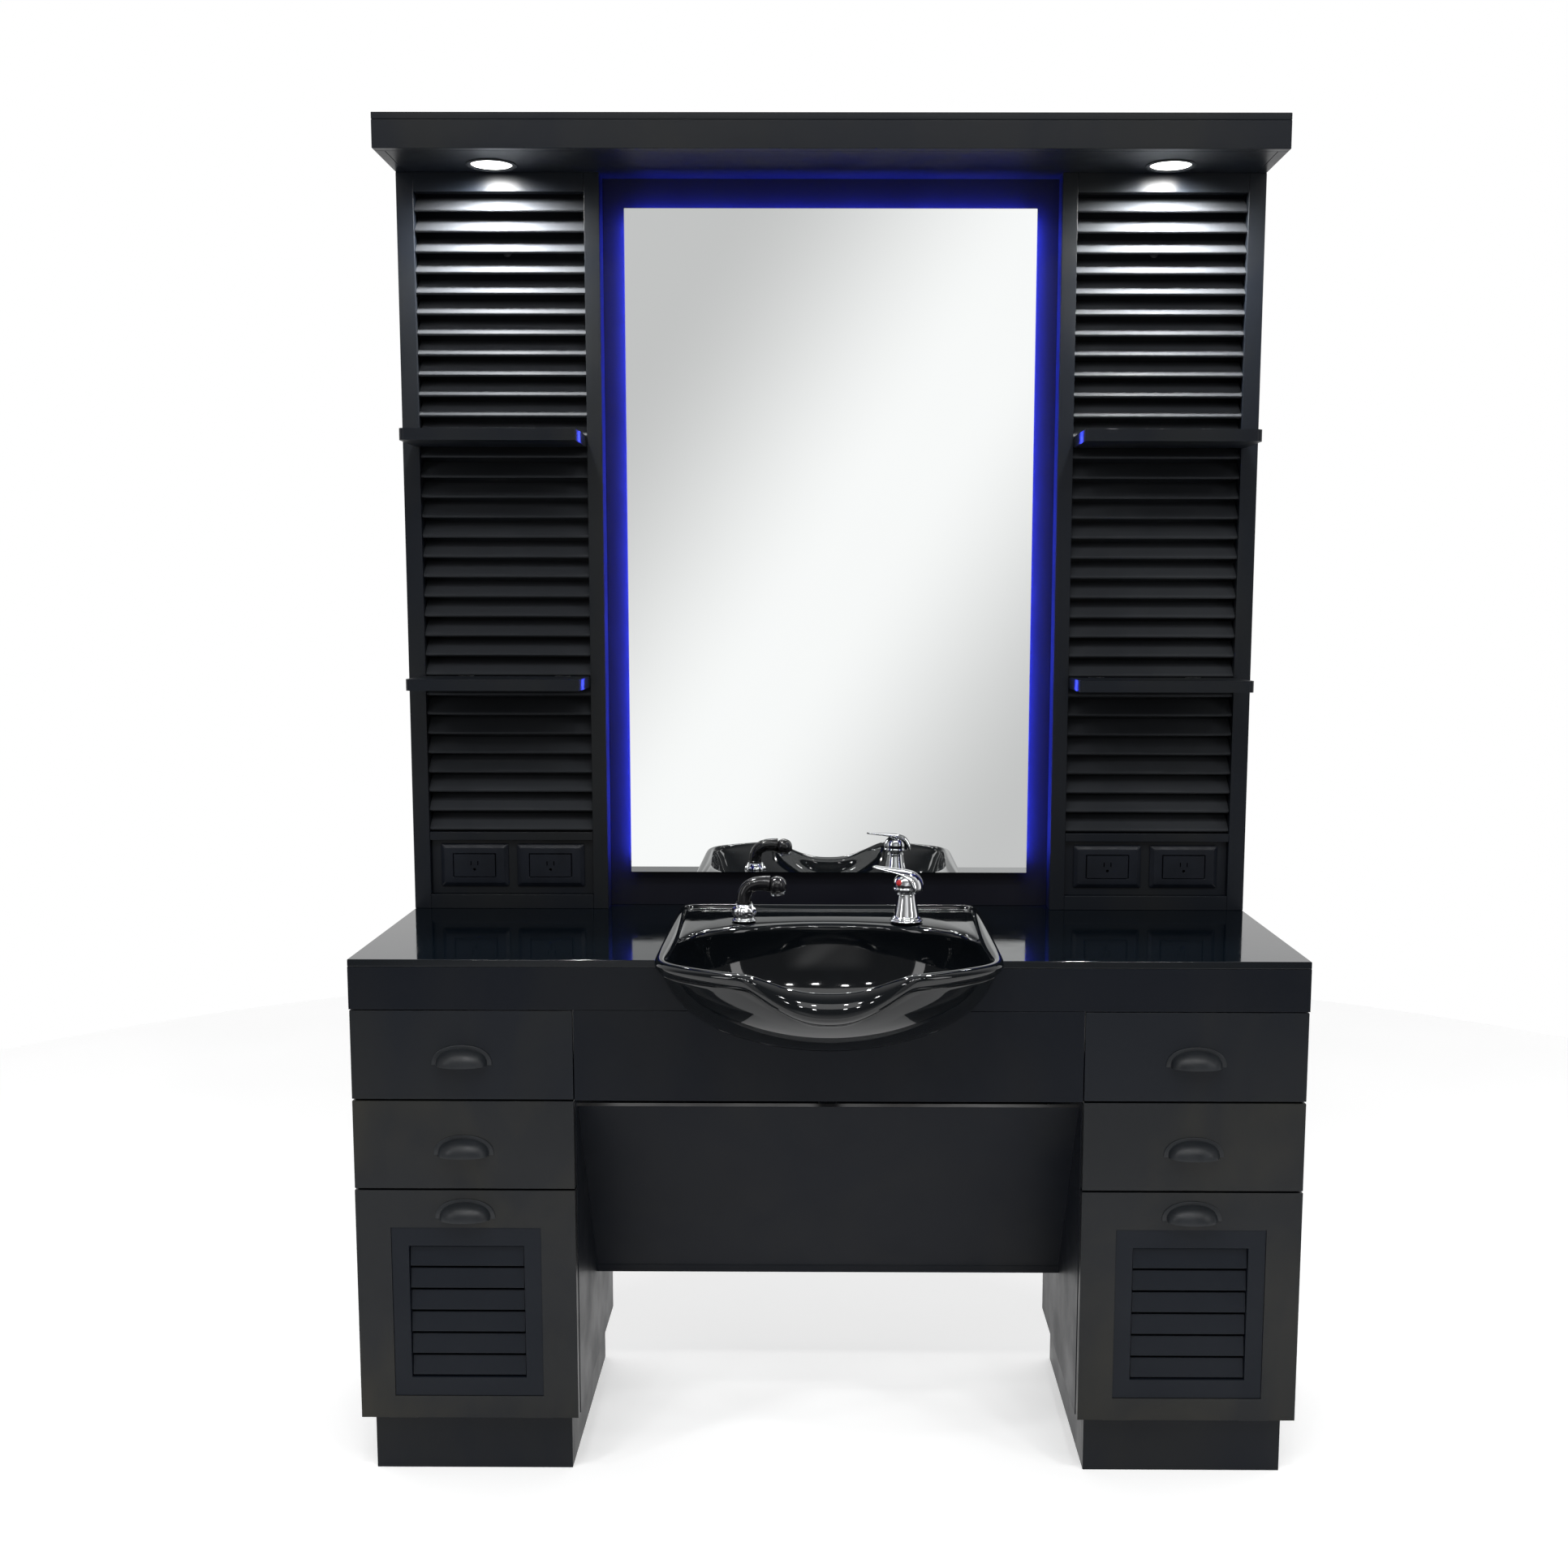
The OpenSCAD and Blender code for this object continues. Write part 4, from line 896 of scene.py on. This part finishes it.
def lamps():
    trims = islands("spotlight_trims")
    lenses = islands("spotlight_lenses")
    bm = bmesh.new()
    for lo, hi in trims:
        c = Vector(((lo.x + hi.x) / 2, (lo.y + hi.y) / 2, 0))
        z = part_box("crown_soffit")[0].z / MM
        lathe(bm, [(37, z + 28), (37.2, z + 0.2), (43.2, z - 0.1), (43.5, z - 0.8), (43.2, z - 1.9),
                   (41.6, z - 2.8), (39, z - 3), (36.6, z - 2.4), (35.4, z - 1), (35.2, z + 5),
                   (35.2, z + 26), (0.5, z + 26), (0.5, z + 28)], c, steps=96, cap=(False, False))
    obj = add_object("spotlight_trims_spun", bm)
    smooth(obj, 40, False)
    own(obj, "spotlight_trims", BLACK_METAL)
    bm = bmesh.new()
    for lo, hi in lenses:
        c = Vector(((lo.x + hi.x) / 2, (lo.y + hi.y) / 2, 0))
        a, b = lo.z / MM, hi.z / MM
        lathe(bm, [(34.7, b), (34.7, a + 1.6), (33.6, a + 0.9), (26, a + 0.4), (13, a + 0.1), (0.4, a)],
              c, steps=96)
    obj = add_object("spotlight_lenses_moulded", bm)
    smooth(obj, 40, False)
    own(obj, "spotlight_lenses", LENS)
    for lo, hi in lenses:
        light = bpy.data.lights.new("puck_light", "SPOT")
        light.energy = 85.0
        light.spot_size = math.radians(174)
        light.spot_blend = 1.0
        light.shadow_soft_size = 0.03
        light.color = (1.0, 0.985, 0.95)
        o = bpy.data.objects.new("puck_light", light)
        o.location = ((lo.x + hi.x) / 2, (lo.y + hi.y) / 2, lo.z - 0.006)
        bpy.context.scene.collection.objects.link(o)


mirror_glass()
lamps()

# ------------------------------------------------------------------ stage, light and camera


def studio():
    scene = bpy.context.scene
    bm = bmesh.new()
    ring = [Vector((3.4 * math.cos(a), 0.4 + 3.4 * math.sin(a), 0)) for a in
            (2 * math.pi * i / 96 for i in range(96))]
    bm.faces.new([bm.verts.new(p) for p in ring])
    floor = add_object("floor", bm)
    if floor.data.polygons[0].normal.z < 0:
        floor.data.flip_normals()
    s = Shade("pale_floor", (0.86, 0.86, 0.86), 0.7, Specular_IOR_Level=0.2)
    s.vary_color(s.noise(2.0), (0.85, 0.85, 0.85), (0.87, 0.87, 0.87))
    s.glow((1, 1, 1), 0.35)
    floor.data.materials.append(s.mat)

    world = bpy.data.worlds.new("studio")
    scene.world = world
    world.use_nodes = True
    t = world.node_tree
    bg = t.nodes["Background"]
    out = t.nodes["World Output"]

    def n(kind, op=None, *values):
        node = t.nodes.new(kind)
        if op:
            node.operation = op
        for i, v in enumerate(values):
            if isinstance(v, (int, float)):
                node.inputs[i].default_value = v
            else:
                t.links.new(v, node.inputs[i])
        return node.outputs[0]

    def math_(op, *values):
        return n("ShaderNodeMath", op, *values)

    def fade(value, a, b, c, d):
        m = t.nodes.new("ShaderNodeMapRange")
        m.interpolation_type = "SMOOTHSTEP"
        t.links.new(value, m.inputs["Value"])
        for key, v in zip(("From Min", "From Max", "To Min", "To Max"), (a, b, c, d)):
            m.inputs[key].default_value = v
        return m.outputs["Result"]

    coord = t.nodes.new("ShaderNodeTexCoord")
    sep = t.nodes.new("ShaderNodeSeparateXYZ")
    t.links.new(coord.outputs["Generated"], sep.inputs[0])
    x, y, z = sep.outputs
    near = math_("MAXIMUM", math_("MULTIPLY", y, -1.0), 0.05)
    dx, dz = math_("DIVIDE", x, near), math_("DIVIDE", z, near)
    diag = math_("ABSOLUTE", math_("SUBTRACT", math_("DIVIDE", dx, 0.12), math_("DIVIDE", dz, 0.19)))
    band = fade(diag, 0.1, 1.6, 1.04, 0.6)
    inside = math_("MULTIPLY", fade(math_("ABSOLUTE", dx), 0.16, 0.45, 1.0, 0.0),
                   fade(math_("ABSOLUTE", math_("SUBTRACT", dz, 0.03)), 0.26, 0.55, 1.0, 0.0))
    front = math_("ADD", math_("MULTIPLY", band, inside),
                  math_("MULTIPLY", math_("SUBTRACT", 1.0, inside), 0.2))
    behind = fade(y, -0.25, 0.25, 0.0, 1.0)
    level = math_("ADD", math_("MULTIPLY", front, math_("SUBTRACT", 1.0, behind)), behind)
    # The backdrop is white where it is seen directly, and this room where it lights or is reflected
    direct = t.nodes.new("ShaderNodeLightPath").outputs["Is Camera Ray"]
    seen = math_("ADD", direct, math_("MULTIPLY", math_("SUBTRACT", 1.0, direct), level))
    bg.inputs["Color"].default_value = (1.0, 1.0, 1.0, 1)
    t.links.new(seen, bg.inputs["Strength"])
    t.links.new(bg.outputs[0], out.inputs["Surface"])

    def softbox(name, where, target, w, h, power):
        light = bpy.data.lights.new(name, "AREA")
        light.shape = "RECTANGLE"
        light.size, light.size_y = w, h
        light.energy = power
        o = bpy.data.objects.new(name, light)
        o.location = where
        o.rotation_euler = (Vector(target) - Vector(where)).to_track_quat("-Z", "Y").to_euler()
        scene.collection.objects.link(o)
        return o

    softbox("overhead", (0.0, -2.6, 4.6), (0, 0, 0.9), 3.4, 1.6, 40)
    softbox("left_strip", (-3.4, -2.6, 2.4), (0, 0, 1.0), 0.7, 2.4, 24)
    softbox("right_strip", (3.4, -2.4, 2.2), (0, 0, 1.0), 0.7, 2.4, 24)
    for i, x in enumerate((-1.9, -1.1, -0.4, 0.35, 1.05, 1.9)):
        for y in (-1.5, -2.7):
            softbox(f"ceiling_lamp_{i}", (x, y - 0.15 * (i % 2), 3.3), (x, y, 0), 0.16, 0.1, 7)
    # Light from the tape behind the mirror, thrown sideways on to the back panel and the towers
    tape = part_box("led_strip")
    gap_y = (tape[0].y + tape[1].y) / 2
    mid_z = (tape[0].z + tape[1].z) / 2
    tape_wide, tape_tall = tape[1].x - tape[0].x, tape[1].z - tape[0].z
    for side, x in ((-1, tape[0].x - 0.002), (1, tape[1].x + 0.002)):
        wash = softbox("blue_side_wash", (x, gap_y, mid_z), (x + side, gap_y, mid_z), 0.01, tape_tall, 10)
        wash.data.color = TAPE_GLOW
    for lo, hi in islands("shelves"):
        side = 1 if lo.x > 0 else -1
        end = Vector((lo.x if side > 0 else hi.x, lo.y + 0.05, (lo.z + hi.z) / 2))
        glow = softbox("blue_shelf_glow", end + Vector((-0.05 * side, 0.01, 0.0)), end, 0.02, 0.02, 0.45)
        glow.data.color = TAPE_GLOW
        glow.data.spread = math.radians(50)
    wash = softbox("blue_top_wash", (0, gap_y, tape[1].z + 0.002), (0, gap_y, 9), tape_wide, 0.01, 3)
    wash.data.color = TAPE_GLOW


# The camera solved from the photo: frame size, focal length and optical centre in its pixels
PHOTO, FOCAL, CENTRE_X, CENTRE_Y = 1932, 2138.9, 1009.26, 1010.58
SENSOR = 36.0
# Its place in millimetres, as at() takes it, and its turn in degrees
CAMERA_AT = (-5.16, -2690.1, 1424.0)
YAW, TILT_DOWN, ROLL = 0.233, 7.152, 0.119


def camera():
    cam = bpy.data.cameras.new("camera")
    cam.sensor_width = SENSOR
    cam.lens = SENSOR * FOCAL / PHOTO
    cam.shift_x = -(CENTRE_X - PHOTO / 2) / PHOTO
    cam.shift_y = (CENTRE_Y - PHOTO / 2) / PHOTO
    cam.clip_start, cam.clip_end = 0.05, 60
    o = bpy.data.objects.new("camera", cam)
    o.location = at(*CAMERA_AT)
    turn = (Matrix.Rotation(math.radians(YAW), 4, "Z")
            @ Matrix.Rotation(math.radians(90 - TILT_DOWN), 4, "X")
            @ Matrix.Rotation(math.radians(ROLL), 4, "Z"))
    o.rotation_euler = turn.to_euler()
    bpy.context.scene.collection.objects.link(o)
    bpy.context.scene.camera = o
    bpy.context.scene.view_settings.view_transform = "Standard"


studio()
camera()
